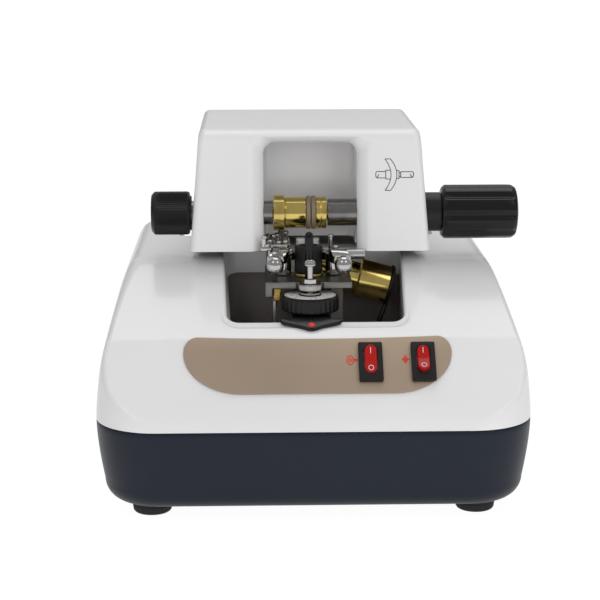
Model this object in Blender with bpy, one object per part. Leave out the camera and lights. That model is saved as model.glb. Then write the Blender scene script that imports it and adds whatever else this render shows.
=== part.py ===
"""Lens groover: a bench machine that cuts a fine groove round the edge of a spectacle lens.

The lens is clamped between two chucks in the tilting head and turned slowly. It rests
on a thin grooving wheel in the well of the base, between the rollers of two guide arms.
Metres, +Z up, front towards -Y, origin on the table under the middle of the object.
"""

import math

import bmesh
import bpy
from mathutils import Matrix, Vector

MM = 0.001
X_AXIS = Vector((1, 0, 0))
Z_AXIS = Vector((0, 0, 1))

# Shared clearances and fineness
FIT_GAP = 0.3 * MM
OVERRUN = 2 * MM
WELD_DISTANCE = 0.002 * MM
ROUND_STEPS = 32
SMALL_STEPS = 20
CORNER_STEPS = 5

# Base plan and heights
BASE_HALF_WIDTH = 103 * MM
BASE_HALF_DEPTH = 118 * MM
BASE_CORNER = 30 * MM
SEAM_HEIGHT = 46.2 * MM
DECK_HEIGHT = 109.9 * MM

# Feet
FOOT_RADIUS = 9.7 * MM
FOOT_HEIGHT = 7 * MM
FOOT_SETBACK_X = 25.8 * MM
FOOT_SETBACK_Y = 28 * MM
FOOT_X = BASE_HALF_WIDTH - FOOT_SETBACK_X
FOOT_Y = BASE_HALF_DEPTH - FOOT_SETBACK_Y
FOOT_ROUND = 1.2 * MM

# Lower pan: its foot edge is round, and its side flares a little up to the seam
PAN_WALL = 2.5 * MM
PAN_ROUND = 10 * MM
PAN_FLARE = 3.5 * MM
PAN_FLARE_POWER = 1.6
PAN_ROUND_STEPS = 4
PAN_SIDE_STEPS = 3

# Top shell: side wall as shares of the roll, and the run of the front
SHELL_WALL = 2.5 * MM
SIDE_ROLL_WIDTH = 34 * MM
ROLL_OVER_DECK = 12.3 * MM
SIDE_ROLL_RISE = DECK_HEIGHT + ROLL_OVER_DECK - SEAM_HEIGHT
CREST_BLEND = 10 * MM
seam_blend_share = 1.5
side_roll_shares = (
    (0, 0), (0.009, 0.09), (0.053, 0.28), (0.124, 0.455), (0.218, 0.628),
    (0.294, 0.737), (0.376, 0.825), (0.471, 0.894), (0.6, 0.95), (0.76, 0.985),
)
FRONT_ROLL_DEPTH = 11 * MM
FRONT_ROLL_RISE = 14.6 * MM
front_roll_shares = ((0, 0), (0.04, 0.16), (0.14, 0.34), (0.32, 0.52), (0.6, 0.74), (1, 1))
PANEL_RUN = 22.4 * MM
CONSOLE_RISE = 26.7 * MM
PANEL_FOOT_Y = -BASE_HALF_DEPTH + FRONT_ROLL_DEPTH
PANEL_FOOT_Z = SEAM_HEIGHT + FRONT_ROLL_RISE
PANEL_TOP_Y = PANEL_FOOT_Y + PANEL_RUN
PANEL_TOP_Z = DECK_HEIGHT - CONSOLE_RISE
PANEL_RISE = PANEL_TOP_Z - PANEL_FOOT_Z
PANEL_SLOPE = math.atan2(PANEL_RISE, PANEL_RUN)
CONSOLE_SLOPE = math.radians(23.5)
CONSOLE_BLEND = 6 * MM
DECK_EDGE_Y = PANEL_TOP_Y + CONSOLE_RISE / math.tan(CONSOLE_SLOPE)
blend_shares = (-1, -0.5, 0, 0.5, 1)

# Well in the console and its skirt, and the line of the chucks over it
WELL_X = 1.5 * MM
WELL_LIP = 12.6 * MM
WELL_FRONT_Y = PANEL_TOP_Y + WELL_LIP
CHUCK_FROM_LIP = 52 * MM
CHUCK_Y = WELL_FRONT_Y + CHUCK_FROM_LIP
WELL_BACK_ROOM = 20.5 * MM
WELL_BACK_Y = CHUCK_Y + WELL_BACK_ROOM
WELL_FRONT_HALF = 42.4 * MM
WELL_BACK_HALF = 45.4 * MM
WELL_CORNER = 6 * MM
SKIRT_WALL = 2 * MM
SKIRT_FRONT_DROP = 30.5 * MM
SKIRT_BACK_DROP = 12.4 * MM
SKIRT_FRONT_HEIGHT = DECK_HEIGHT - SKIRT_FRONT_DROP
SKIRT_BACK_HEIGHT = DECK_HEIGHT - SKIRT_BACK_DROP

# Drip tray under the skirt
TRAY_UNDER_SKIRT = 17 * MM
TRAY_BOTTOM = DECK_HEIGHT - max(SKIRT_FRONT_DROP, SKIRT_BACK_DROP) - TRAY_UNDER_SKIRT
TRAY_FLOOR = 2 * MM

# Hinge of the head, and the notch for it in the rear of the deck
HINGE_SETBACK = 40 * MM
HINGE_DROP = 15.5 * MM
HINGE_Y = BASE_HALF_DEPTH - HINGE_SETBACK
HINGE_Z = DECK_HEIGHT - HINGE_DROP
DRUM_RADIUS = 20 * MM
DRUM_ARC = 150
notch_place_share = 79 / 115
HEAD_HALF_LOW = 59.6 * MM
BRACKET_SET_OUT = 3.4 * MM
BRACKET_WALL = 3.8 * MM
BRACKET_X = HEAD_HALF_LOW + BRACKET_SET_OUT
NOTCH_SIDE_ROOM = 1.7 * MM
NOTCH_HALF = BRACKET_X + BRACKET_WALL + NOTCH_SIDE_ROOM
NOTCH_FRONT_Y = WELL_BACK_Y + (HINGE_Y - DRUM_RADIUS - WELL_BACK_Y) * notch_place_share
NOTCH_DROP = 37.5 * MM
NOTCH_FLOOR = DECK_HEIGHT - NOTCH_DROP

# Panel plate on the sloping front, and its two switches
PLATE_X = 1.7 * MM
PANEL_HALF_WIDTH = 63 * MM
PANEL_SHOULDER = 6.4 * MM
PANEL_SHOULDER_DROP = 8.2 * MM
PANEL_SWEEP = 27.3 * MM
PANEL_BOW = 1.2 * MM
PANEL_THICK = 0.8 * MM
PANEL_MARGIN = 0.4 * MM
SWITCH_X = (26.3 * MM, 51 * MM)
SWITCH_WIDTH = 11.3 * MM
SWITCH_LENGTH = 18.4 * MM
SWITCH_BEZEL = 2 * MM
SWITCH_BODY_WIDTH = 9 * MM
SWITCH_BODY_LENGTH = 16.8 * MM
SWITCH_BODY_DEPTH = 11 * MM
SWITCH_UP_SLOPE = 1.4 * MM
ROCKER_WIDTH = 5.7 * MM
ROCKER_LENGTH = 14.2 * MM
ROCKER_SIDE = 3 * MM
ROCKER_RISE = 1.5 * MM
ROCKER_TILT = math.radians(8)
ROCKER_POCKET_DEPTH = 4.6 * MM
ROCKER_POCKET_GAP = 0.45 * MM
ROCKER_BELLY = 2.6 * MM
ROCKER_STEPS = 8

# Mains inlet in the rear wall, and the transformer on the pan floor
INLET_X = -58 * MM
INLET_BELOW_SEAM = 17.8 * MM
INLET_Z = SEAM_HEIGHT - INLET_BELOW_SEAM
INLET_WIDTH = 27 * MM
INLET_HEIGHT = 20 * MM
INLET_FLANGE = 2 * MM
INLET_FLANGE_LIP = 1.4 * MM
INLET_DEPTH = 22 * MM
INLET_MOUTH_WIDTH = 23.5 * MM
INLET_MOUTH_HEIGHT = 16 * MM
INLET_MOUTH_DEPTH = 16 * MM
INLET_PROUD = 1 * MM
BLADE_WIDTH = 2 * MM
BLADE_HEIGHT = 4.5 * MM
BLADE_LENGTH = 9.5 * MM
BLADE_PITCH = 7 * MM
BLADE_RISE = 4 * MM
TRANSFORMER_X = 34 * MM
TRANSFORMER_SETBACK = 56 * MM
TRANSFORMER_Y = BASE_HALF_DEPTH - TRANSFORMER_SETBACK
TRANSFORMER_FLOOR = FOOT_HEIGHT + PAN_WALL + FIT_GAP
CORE_HEADROOM = 20.1 * MM
CORE_WIDTH = 48 * MM
CORE_DEPTH = 24 * MM
CORE_HEIGHT = NOTCH_FLOOR - SHELL_WALL - CORE_HEADROOM - TRANSFORMER_FLOOR
CORE_YOKE = 7 * MM
BOBBIN_WIDTH = 30 * MM
BOBBIN_DEPTH = 38 * MM
BOBBIN_HEIGHT = CORE_HEIGHT - 2 * CORE_YOKE

# Height of the head and of the chucks' line, and the middle of the mechanism under it
HEAD_GAP = 5.3 * MM
HEAD_BOTTOM = DECK_HEIGHT + HEAD_GAP
CHUCK_RISE = 17 * MM
CHUCK_Z = HEAD_BOTTOM + CHUCK_RISE
MECHANISM_X = -1 * MM
FRAME_SIDE_ROOM = 8.6 * MM
FRAME_HALF_WIDTH = HEAD_HALF_LOW - FRAME_SIDE_ROOM

# Left, driving side of the head
SPIN_SHAFT_RADIUS = 6 * MM
SPIN_SHAFT_NOSE_RADIUS = 3 * MM
SPIN_SHAFT_NOSE = 5 * MM
LEFT_FLANGE_X = -18.1 * MM
LEFT_FLANGE_RADIUS = 8.85 * MM
LEFT_FLANGE_THICK = 5.4 * MM
LEFT_CHUCK_RADIUS = 7.85 * MM
LEFT_CHUCK_END_X = -2 * MM
CHUCK_CHAMFER = 0.5 * MM
PAD_RADIUS = 8.35 * MM
PAD_THICK = 2.1 * MM
LEFT_KNOB_GAP = 0.4 * MM
LEFT_KNOB_LENGTH = 19.2 * MM
LEFT_KNOB_INNER_X = -HEAD_HALF_LOW - LEFT_KNOB_GAP
LEFT_KNOB_OUTER_X = LEFT_KNOB_INNER_X - LEFT_KNOB_LENGTH
LEFT_KNOB_RADIUS = 10.7 * MM
KNOB_CHAMFER = 1.6 * MM
KNOB_BORE_DEPTH = 15 * MM
SPIN_PULLEY_RADIUS = 7.5 * MM
PULLEY_FLANGE = 1.2 * MM
PULLEY_FLANGE_RISE = 1.6 * MM
PULLEY_INSET = 10 * MM
PULLEY_X = -FRAME_HALF_WIDTH + PULLEY_INSET
BELT_WIDTH = 4 * MM
BELT_THICK = 1.2 * MM

# Lens drive motor behind the left of the window
MOTOR_BEHIND = 56 * MM
MOTOR_LIFT = 10.2 * MM
MOTOR_Y = CHUCK_Y + MOTOR_BEHIND
MOTOR_Z = CHUCK_Z + MOTOR_LIFT
MOTOR_RADIUS = 17 * MM
MOTOR_LENGTH = 21 * MM
MOTOR_BOSS_RADIUS = 4 * MM
MOTOR_BOSS = 2 * MM
MOTOR_SHAFT_RADIUS = 1.5 * MM
MOTOR_SHAFT_DEPTH = 8 * MM
MOTOR_PULLEY_RADIUS = 6 * MM

# Right, clamping side of the head
LENS_GAP = 0.4 * MM
RIGHT_CHUCK_RADIUS = 8.1 * MM
RIGHT_CHUCK_END_X = 8.3 * MM
RIGHT_STEM_RADIUS = 3.5 * MM
RIGHT_STEM = 9.4 * MM
SLEEVE_X = 9.1 * MM
SLEEVE_RADIUS = 6.8 * MM
SLEEVE_LENGTH = 31 * MM
SLEEVE_STEM_BORE = 10.4 * MM
SLEEVE_WEB = 2 * MM
CLAMP_TRAVEL = 12 * MM
CLAMP_SCREW_RADIUS = 3 * MM
CLAMP_SCREW_X = 35.8 * MM
CLAMP_SHOULDER_RADIUS = 4 * MM
COLLAR_SEAT = 6 * MM
COLLAR_REACH = 6.2 * MM
COLLAR_INNER_X = HEAD_HALF_LOW - COLLAR_SEAT
COLLAR_OUTER_X = HEAD_HALF_LOW + COLLAR_REACH
COLLAR_RADIUS = 9.8 * MM
RIGHT_KNOB_LENGTH = 38.6 * MM
RIGHT_KNOB_RADIUS = 13.5 * MM
RIGHT_KNOB_CAP = 0.8 * MM
RIGHT_KNOB_CAP_RADIUS = 9.6 * MM
FLUTES = 8
FLUTE_DEPTH = 1.3 * MM
FLUTE_STEPS = 8

# Head shell: side outline, taper and window
HEAD_X = 0 * MM
HEAD_HEIGHT = 59.2 * MM
HEAD_TOP = HEAD_BOTTOM + HEAD_HEIGHT
HEAD_LEAN_IN = 4.5 * MM
HEAD_HALF_HIGH = HEAD_HALF_LOW - HEAD_LEAN_IN
FACE_REACH_LOW = 16 * MM
FACE_REACH_HIGH = 5.5 * MM
HEAD_FRONT_LOW_Y = CHUCK_Y - FACE_REACH_LOW
HEAD_FRONT_HIGH_Y = CHUCK_Y - FACE_REACH_HIGH
HEAD_REAR_Y = HINGE_Y + DRUM_RADIUS
HEAD_WALL = 3 * MM
HEAD_TOP_ROUND = 7 * MM
HEAD_REAR_ROUND = 28 * MM
HEAD_EDGE_ROUND = 3.5 * MM
EDGE_STEPS = 3
under_place_share = 1 / 3
HEAD_UNDER_Y = NOTCH_FRONT_Y + (HINGE_Y - DRUM_RADIUS - NOTCH_FRONT_Y) * under_place_share
WINDOW_RIM_LEFT = -28.4 * MM
WINDOW_RIM_RIGHT = 28.6 * MM
WINDOW_LEFT = -23 * MM
WINDOW_RIGHT = 25 * MM
WINDOW_RIM_DROP = 2.6 * MM
WINDOW_DROP = 7 * MM
WINDOW_RIM_TOP = HEAD_TOP - WINDOW_RIM_DROP
WINDOW_TOP = HEAD_TOP - WINDOW_DROP
WINDOW_CORNER = 5 * MM
WINDOW_FLARE = 5 * MM
WINDOW_DEPTH = 29 * MM
WINDOW_BACK_Y = CHUCK_Y + WINDOW_DEPTH
WINDOW_WALL = 2.5 * MM

# Head frame: a plate inside the shell with bearing walls, a motor wall and hinge lugs
FRAME_RISE = 0.8 * MM
FRAME_BOTTOM = HEAD_BOTTOM + FRAME_RISE
FRAME_THICK = 2.4 * MM
FRAME_BEHIND_FACE = 6 * MM
FRAME_FRONT_Y = HEAD_FRONT_LOW_Y + FRAME_BEHIND_FACE
FRAME_PAST_HINGE = 6 * MM
FRAME_REAR_Y = HINGE_Y + FRAME_PAST_HINGE
FRAME_WINDOW_GAP = 1.2 * MM
BEARING_WALL = 4 * MM
BEARING_INSET_LEFT = 3 * MM
BEARING_INSET_RIGHT = 4 * MM
BEARING_BESIDE_WINDOW = 8 * MM
BEARING_WALL_X = (
    -FRAME_HALF_WIDTH + BEARING_INSET_LEFT,
    WINDOW_LEFT - BEARING_BESIDE_WINDOW,
    WINDOW_RIGHT + BEARING_BESIDE_WINDOW,
    FRAME_HALF_WIDTH - BEARING_INSET_RIGHT,
)
BEARING_WALL_HALF = 11 * MM
BEARING_WALL_RISE = 11 * MM
BEARING_WALL_FRONT = 6 * MM
MOTOR_WALL = 3 * MM
MOTOR_WALL_HALF = 15 * MM
LUG_INSET = 5 * MM
LUG_X = FRAME_HALF_WIDTH - LUG_INSET
LUG_WALL = 4 * MM
LUG_RADIUS = 9 * MM
LUG_REACH = 22 * MM
LUG_FRONT_Y = HINGE_Y - LUG_REACH

# Hinge pin and brackets
HINGE_PIN_RADIUS = 4 * MM
HINGE_PIN_INSET = 0.4 * MM
HINGE_PIN_HALF = BRACKET_X + BRACKET_WALL - HINGE_PIN_INSET
BRACKET_HALF = 9 * MM
BRACKET_OVER_PIN = 7 * MM
BRACKET_TOP = HINGE_Z + BRACKET_OVER_PIN

# Depth dial and its lift arm
DIAL_X = -0.8 * MM
DIAL_SETBACK = 15 * MM
DIAL_Y = WELL_FRONT_Y + DIAL_SETBACK
DIAL_RADIUS = 14 * MM
DIAL_DROP = 19.9 * MM
DIAL_HEIGHT = 8 * MM
DIAL_BOTTOM = DECK_HEIGHT - DIAL_DROP
DIAL_TOP = DIAL_BOTTOM + DIAL_HEIGHT
DIAL_CHAMFER = 0.6 * MM
DIAL_RING_INNER = 5.4 * MM
DIAL_RING_OUTER = 12.8 * MM
DIAL_RING_SINK = 0.3 * MM
LIFT_ARM_THICK = 0.8 * MM
LIFT_ARM_WIDTH = 7 * MM
LIFT_HUB_RADIUS = 5 * MM
DEPTH_TRAVEL = 0.7 * MM
LIFT_TOP = DIAL_TOP + FIT_GAP + LIFT_ARM_THICK

# Guide plate over the dial and the well
GUIDE_BESIDE_DIAL = 7.8 * MM
GUIDE_LEFT_X = DIAL_X - DIAL_RADIUS - GUIDE_BESIDE_DIAL
GUIDE_RIGHT_X = 19.8 * MM
GUIDE_PAST_DIAL = 2 * MM
GUIDE_FRONT_Y = DIAL_Y + GUIDE_PAST_DIAL
GUIDE_STEP_BEFORE = 11 * MM
GUIDE_STEP_Y = CHUCK_Y - GUIDE_STEP_BEFORE
GUIDE_BEHIND = 10 * MM
GUIDE_BACK_Y = CHUCK_Y + GUIDE_BEHIND
GUIDE_STRIP_X = -9.8 * MM
GUIDE_OVER_LIFT = 0.5 * MM
GUIDE_BOTTOM = LIFT_TOP + DEPTH_TRAVEL + GUIDE_OVER_LIFT
GUIDE_THICK = 3.1 * MM
GUIDE_TOP = GUIDE_BOTTOM + GUIDE_THICK
GUIDE_TAB_WIDTH = 3.7 * MM
GUIDE_TAB_DEPTH = 4.2 * MM
GUIDE_TAB_BACK = 12 * MM

# Bracket, brass block and post under the guide plate
SUPPORT_X = GUIDE_LEFT_X + GUIDE_TAB_WIDTH
SUPPORT_THICK = 2 * MM
SUPPORT_BEHIND_FRONT = 5 * MM
SUPPORT_FRONT_Y = GUIDE_FRONT_Y + SUPPORT_BEHIND_FRONT
SUPPORT_BEFORE_BACK = 4 * MM
SUPPORT_BACK_Y = GUIDE_BACK_Y - SUPPORT_BEFORE_BACK
SUPPORT_FOOT = 10 * MM
BLOCK_WIDTH = 3.8 * MM
BLOCK_HEIGHT = 6.3 * MM
BLOCK_BEHIND_FRONT = 2 * MM
BLOCK_FRONT_Y = GUIDE_FRONT_Y + BLOCK_BEHIND_FRONT
BLOCK_LENGTH = 29 * MM
BLOCK_BACK_Y = BLOCK_FRONT_Y + BLOCK_LENGTH
SUPPORT_TOP = GUIDE_BOTTOM - 2 * FIT_GAP - BLOCK_HEIGHT

# Screw, nut and collar of the dial, and the index plate
DIAL_SCREW_RADIUS = 1.5 * MM
SCREW_HEAD_RADIUS = 2.85 * MM
SCREW_HEAD_HEIGHT = 3.4 * MM
STUD_COLLAR_RADIUS = 5.6 * MM
STUD_COLLAR_OVER_LIFT = 0.35 * MM
STUD_COLLAR_SINK = 0.2 * MM
STUD_COLLAR_BOTTOM = LIFT_TOP + DEPTH_TRAVEL + STUD_COLLAR_OVER_LIFT
STUD_COLLAR_TOP = GUIDE_TOP - STUD_COLLAR_SINK
DIAL_NUT_RADIUS = 3.2 * MM
DIAL_NUT_BOTTOM = STUD_COLLAR_TOP + FIT_GAP
DIAL_NUT_HEIGHT = 2 * MM
DIAL_SCREW_RISE = 11.9 * MM
DIAL_SCREW_TOP = DIAL_NUT_BOTTOM + DIAL_SCREW_RISE
INDEX_HALF = 14.7 * MM
INDEX_THICK = 1.6 * MM
INDEX_BEFORE_DIAL = 3 * MM
INDEX_FROM_PANEL = 5.1 * MM
INDEX_LENGTH = WELL_LIP - INDEX_FROM_PANEL
INDEX_REAR_Y = DIAL_Y - DIAL_RADIUS - INDEX_BEFORE_DIAL
INDEX_TIP_Y = INDEX_REAR_Y - INDEX_LENGTH
INDEX_TONGUE_HALF = 9 * MM
INDEX_TONGUE_THICK = 0.7 * MM
INDEX_TONGUE_PAST = 8 * MM
INDEX_TONGUE_BACK_Y = DIAL_Y + INDEX_TONGUE_PAST
index_edge_shares = ((1, 1), (1, 0.8), (0.9, 0.62), (0.6, 0.42), (0.3, 0.2), (0.12, 0.03), (0, 0))

# Depth tower with its ring, and the pin in front of it
TOWER_BEHIND_DIAL = 19.5 * MM
TOWER_Y = DIAL_Y + TOWER_BEHIND_DIAL
TOWER_RADIUS = 6.9 * MM
TOWER_RISE = 15 * MM
TOWER_TOP = GUIDE_TOP + TOWER_RISE
TOWER_CHAMFER = 0.5 * MM
TOWER_STEM_RADIUS = 3 * MM
DEPTH_RING_RADIUS = 7.3 * MM
DEPTH_RING_HEIGHT = 1.4 * MM
PIN_BEHIND_DIAL = 10 * MM
PIN_Y = DIAL_Y + PIN_BEHIND_DIAL
PIN_RADIUS = 2.15 * MM
PIN_RISE = 23.6 * MM
PIN_TOP = GUIDE_TOP + PIN_RISE

# Guide arms with ball handles, rollers, pivots, selector plate and rod
ARM_SIDES = (("left", -1), ("right", 1))
ARM_PIVOT_OFFSET = 12.4 * MM
ARM_PIVOT_BEFORE = 15 * MM
ARM_PIVOT_Y = CHUCK_Y - ARM_PIVOT_BEFORE
ARM_RISE = 6.9 * MM
ARM_BOTTOM = GUIDE_TOP + ARM_RISE
ARM_THICK = 4 * MM
ARM_WIDTH = 7.2 * MM
ARM_TIP_WIDTH = 4.6 * MM
ARM_HUB_RADIUS = 3.9 * MM
BALL_OFFSET = 16.75 * MM
BALL_RADIUS = 4.35 * MM
BALL_BEFORE_PIVOT = 15 * MM
BALL_Y = ARM_PIVOT_Y - BALL_BEFORE_PIVOT
BALL_GAP = 0.45 * MM
ARM_FRONT_Y = BALL_Y + BALL_RADIUS + BALL_GAP
BALL_LIFT = 0.9 * MM
BALL_HANG = 3.2 * MM
BALL_Z = ARM_BOTTOM + BALL_LIFT
BALL_BOTTOM = ARM_BOTTOM - BALL_HANG
PIVOT_RADIUS = 1.5 * MM
PIVOT_HEAD_RADIUS = 2.9 * MM
PIVOT_HEAD_HEIGHT = 1.9 * MM
ROLLER_OFFSET = 3.5 * MM
ROLLER_Y = CHUCK_Y
ARM_BEFORE_ROLLER = 1.4 * MM
ARM_REAR_Y = ROLLER_Y - ARM_BEFORE_ROLLER
ROLLER_RADIUS = 2.4 * MM
ROLLER_HEIGHT = 4.4 * MM
SELECTOR_BEFORE = 11.5 * MM
SELECTOR_BEHIND = 8 * MM
SELECTOR_FRONT_Y = CHUCK_Y - SELECTOR_BEFORE
SELECTOR_BACK_Y = CHUCK_Y + SELECTOR_BEHIND
SELECTOR_RIGHT_X = -10 * MM
SELECTOR_OVER_ARM = 1.7 * MM
SELECTOR_BOTTOM = ARM_BOTTOM + ARM_THICK + SELECTOR_OVER_ARM
SELECTOR_THICK = 1.8 * MM
SELECTOR_POST_RADIUS = 1.9 * MM
SELECTOR_POST_INSET_X = 2.6 * MM
SELECTOR_POST_INSET_Y = 1.8 * MM
SELECTOR_POST_X = GUIDE_LEFT_X + SELECTOR_POST_INSET_X
SELECTOR_POST_Y = SELECTOR_BACK_Y - SELECTOR_POST_INSET_Y
ROD_RADIUS = 2.65 * MM
ROD_BEFORE_PIVOT = 1.4 * MM
ROD_LIFT = 3.5 * MM
ROD_Y = ARM_PIVOT_Y - ROD_BEFORE_PIVOT
ROD_Z = ARM_BOTTOM + ROD_LIFT
ROD_INNER_X = 17.3 * MM
ROD_OUTER_X = 27 * MM

# Grooving spindle, tilted down to the right
SPINDLE_TILT = math.radians(14.5)
WHEEL_X = -3.3 * MM
WHEEL_OVER_GUIDE = 5.4 * MM
WHEEL_Z = GUIDE_BOTTOM + WHEEL_OVER_GUIDE
WHEEL_RADIUS = 9 * MM
WHEEL_THICK = 0.6 * MM
WHEEL_HUB_RADIUS = 3.6 * MM
WHEEL_NUT_REACH = 2.6 * MM
SPINDLE_RADIUS = 2.5 * MM
SPINDLE_NOSE = 3.4 * MM
SPINDLE_NOSE_RADIUS = 5 * MM
NECK_START = 11.5 * MM
NECK_RADIUS = 7.75 * MM
HOUSING_START = 28.4 * MM
HOUSING_RADIUS = 9.9 * MM
HOUSING_END = 44.1 * MM
HOUSING_WALL = 1.5 * MM
END_CAP_RADIUS = 10.4 * MM
END_CAP_THICK = 1.6 * MM
END_CAP_CHAMFER = 0.5 * MM
CRADLE_X = 10.5 * MM
CRADLE_THICK = 6 * MM
CRADLE_HALF = 9.6 * MM
CRADLE_DROP = 11.5 * MM
CRADLE_TOP = DECK_HEIGHT - CRADLE_DROP

# Colours, with roughness and metallic values
LOOKS = {
    "white": ((0.82, 0.82, 0.83), 0.18, 0.0),
    "navy": ((0.035, 0.05, 0.08), 0.45, 0.0),
    "black": ((0.015, 0.015, 0.017), 0.4, 0.0),
    "rubber": ((0.02, 0.02, 0.02), 0.8, 0.0),
    "bronze": ((0.35, 0.28, 0.21), 0.4, 0.6),
    "red": ((0.5, 0.02, 0.02), 0.3, 0.0),
    "steel": ((0.45, 0.44, 0.42), 0.3, 1.0),
    "chrome": ((0.75, 0.75, 0.76), 0.1, 1.0),
    "brass": ((0.6, 0.45, 0.15), 0.2, 1.0),
    "aluminium": ((0.6, 0.6, 0.6), 0.35, 1.0),
    "tray": ((0.06, 0.05, 0.05), 0.6, 0.0),
    "pad": ((0.3, 0.24, 0.16), 0.7, 0.0),
    "nylon": ((0.8, 0.8, 0.76), 0.5, 0.0),
    "copper": ((0.5, 0.25, 0.1), 0.5, 0.5),
}


# Helpers

def clear_scene():
    for obj in list(bpy.data.objects):
        bpy.data.objects.remove(obj, do_unlink=True)


def material(name, look):
    colour, roughness, metallic = LOOKS[look]
    made = bpy.data.materials.new(name)
    made.use_nodes = True
    shader = made.node_tree.nodes["Principled BSDF"]
    shader.inputs["Base Color"].default_value = (*colour, 1)
    shader.inputs["Roughness"].default_value = roughness
    shader.inputs["Metallic"].default_value = metallic
    return made


def make(name, look, bm, place=None):
    """The object of a bmesh, at place (a matrix). Look None makes a hidden cutter."""
    bmesh.ops.remove_doubles(bm, verts=bm.verts, dist=WELD_DISTANCE)
    bmesh.ops.recalc_face_normals(bm, faces=bm.faces)
    mesh = bpy.data.meshes.new(name)
    bm.to_mesh(mesh)
    bm.free()
    obj = bpy.data.objects.new(name, mesh)
    bpy.context.scene.collection.objects.link(obj)
    if place is not None:
        obj.matrix_world = place
    if look is None:
        obj.hide_render = True
        obj.display_type = "WIRE"
    else:
        mesh.materials.append(material(name, look))
        mesh.shade_smooth()
        mesh.set_sharp_from_angle(angle=math.radians(35))
    return obj


def at(x, y, z, direction=Z_AXIS):
    """A matrix that puts the local origin at a point and local Z along a direction."""
    turn = Z_AXIS.rotation_difference(Vector(direction)).to_matrix().to_4x4()
    return Matrix.Translation((x, y, z)) @ turn


def combine(target, operation, others):
    for other in others:
        modifier = target.modifiers.new(other.name, "BOOLEAN")
        modifier.operation = operation
        modifier.solver = "EXACT"
        modifier.object = other
    return target


def cut(target, *cutters):
    return combine(target, "DIFFERENCE", cutters)


def join(target, *others):
    return combine(target, "UNION", others)


def loft(loops, closed=False):
    """A bmesh skin over loops of equal count. It is capped, or closed on itself."""
    bm = bmesh.new()
    rings = [[bm.verts.new(point) for point in loop] for loop in loops]
    pairs = list(zip(rings, rings[1:]))
    if closed:
        pairs.append((rings[-1], rings[0]))
    else:
        bm.faces.new(rings[0][::-1])
        bm.faces.new(rings[-1])
    for low, high in pairs:
        for i in range(len(low)):
            j = (i + 1) % len(low)
            bm.faces.new((low[i], low[j], high[j], high[i]))
    return bm


def prism(outline, low, high):
    """An outline of (x, y) points drawn up from height low to height high."""
    return loft([[(x, y, z) for x, y in outline] for z in (low, high)])


def side_prism(outline, left, right):
    """An outline of (y, z) points drawn across from x left to x right."""
    return loft([[(x, y, z) for y, z in outline] for x in (left, right)])


def box(low, high):
    (x0, y0, z0), (x1, y1, z1) = low, high
    return prism(((x0, y0), (x1, y0), (x1, y1), (x0, y1)), z0, z1)


def turned(profile, steps=ROUND_STEPS):
    """A profile of (radius, height) points spun round local Z. It ends on the axis,
    or it runs round a ring's section."""
    bm = bmesh.new()
    points = [bm.verts.new((radius, 0, height)) for radius, height in profile]
    ends_on_axis = profile[0][0] == 0 and profile[-1][0] == 0
    pairs = list(zip(points, points[1:]))
    if not ends_on_axis:
        pairs.append((points[-1], points[0]))
    edges = [bm.edges.new(pair) for pair in pairs]
    bmesh.ops.spin(
        bm, geom=points + edges, cent=(0, 0, 0), axis=Z_AXIS, dvec=(0, 0, 0),
        angle=2 * math.pi, steps=steps, use_duplicate=False,
    )
    return bm


def rod_profile(radius, low, high, chamfer=0):
    if chamfer == 0:
        return [(0, low), (radius, low), (radius, high), (0, high)]
    inner = radius - chamfer
    return [(0, low), (inner, low), (radius, low + chamfer),
            (radius, high - chamfer), (inner, high), (0, high)]


def ring_profile(inner, outer, low, high):
    return [(inner, low), (outer, low), (outer, high), (inner, high)]


def rod(name, look, radius, low, high, place, steps=ROUND_STEPS, chamfer=0):
    return make(name, look, turned(rod_profile(radius, low, high, chamfer), steps), place)


def arc(centre_x, centre_y, radius, start, end, steps):
    """Points on an arc, angles in degrees."""
    points = []
    for i in range(steps + 1):
        angle = math.radians(start + (end - start) * i / steps)
        points.append((centre_x + radius * math.cos(angle), centre_y + radius * math.sin(angle)))
    return points


def smooth_min(a, b, width):
    """The lower of two heights, with their crossing rounded over a width."""
    near = max(width - abs(a - b), 0) / width
    return min(a, b) - near * near * width / 4


def x_line(y, z):
    """The matrix of a piece turned about a line along X: local heights are x values."""
    return at(0, y, z, X_AXIS)


# Base plan and console

def base_loop(inset, side_stops=()):
    """The base's plan, moved in by inset, from the front right corner round to the left."""
    radius = BASE_CORNER - inset
    x = BASE_HALF_WIDTH - BASE_CORNER
    y = BASE_HALF_DEPTH - BASE_CORNER
    side = BASE_HALF_WIDTH - inset
    return (
        arc(x, -y, radius, -90, 0, CORNER_STEPS)
        + [(side, stop) for stop in side_stops]
        + arc(x, y, radius, 0, 90, CORNER_STEPS)
        + arc(-x, y, radius, 90, 180, CORNER_STEPS)
        + [(-side, stop) for stop in reversed(side_stops)]
        + arc(-x, -y, radius, 180, 270, CORNER_STEPS)
    )


def console_height(y):
    """Height of the top surface along the middle: front roll, panel, console, deck."""
    if y <= PANEL_FOOT_Y:
        share = (y + BASE_HALF_DEPTH) / FRONT_ROLL_DEPTH
        for (s0, r0), (s1, r1) in zip(front_roll_shares, front_roll_shares[1:]):
            if share <= s1:
                return SEAM_HEIGHT + FRONT_ROLL_RISE * (r0 + (r1 - r0) * (share - s0) / (s1 - s0))
    panel = PANEL_FOOT_Z + (y - PANEL_FOOT_Y) * PANEL_RISE / PANEL_RUN
    console = PANEL_TOP_Z + (y - PANEL_TOP_Y) * math.tan(CONSOLE_SLOPE)
    if y <= PANEL_TOP_Y:
        return panel
    return smooth_min(console, DECK_HEIGHT, CONSOLE_BLEND * math.tan(CONSOLE_SLOPE))


def console_stops():
    """Places along the side where the console's line bends."""
    return [PANEL_TOP_Y] + [DECK_EDGE_Y + CONSOLE_BLEND * share for share in blend_shares]


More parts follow.
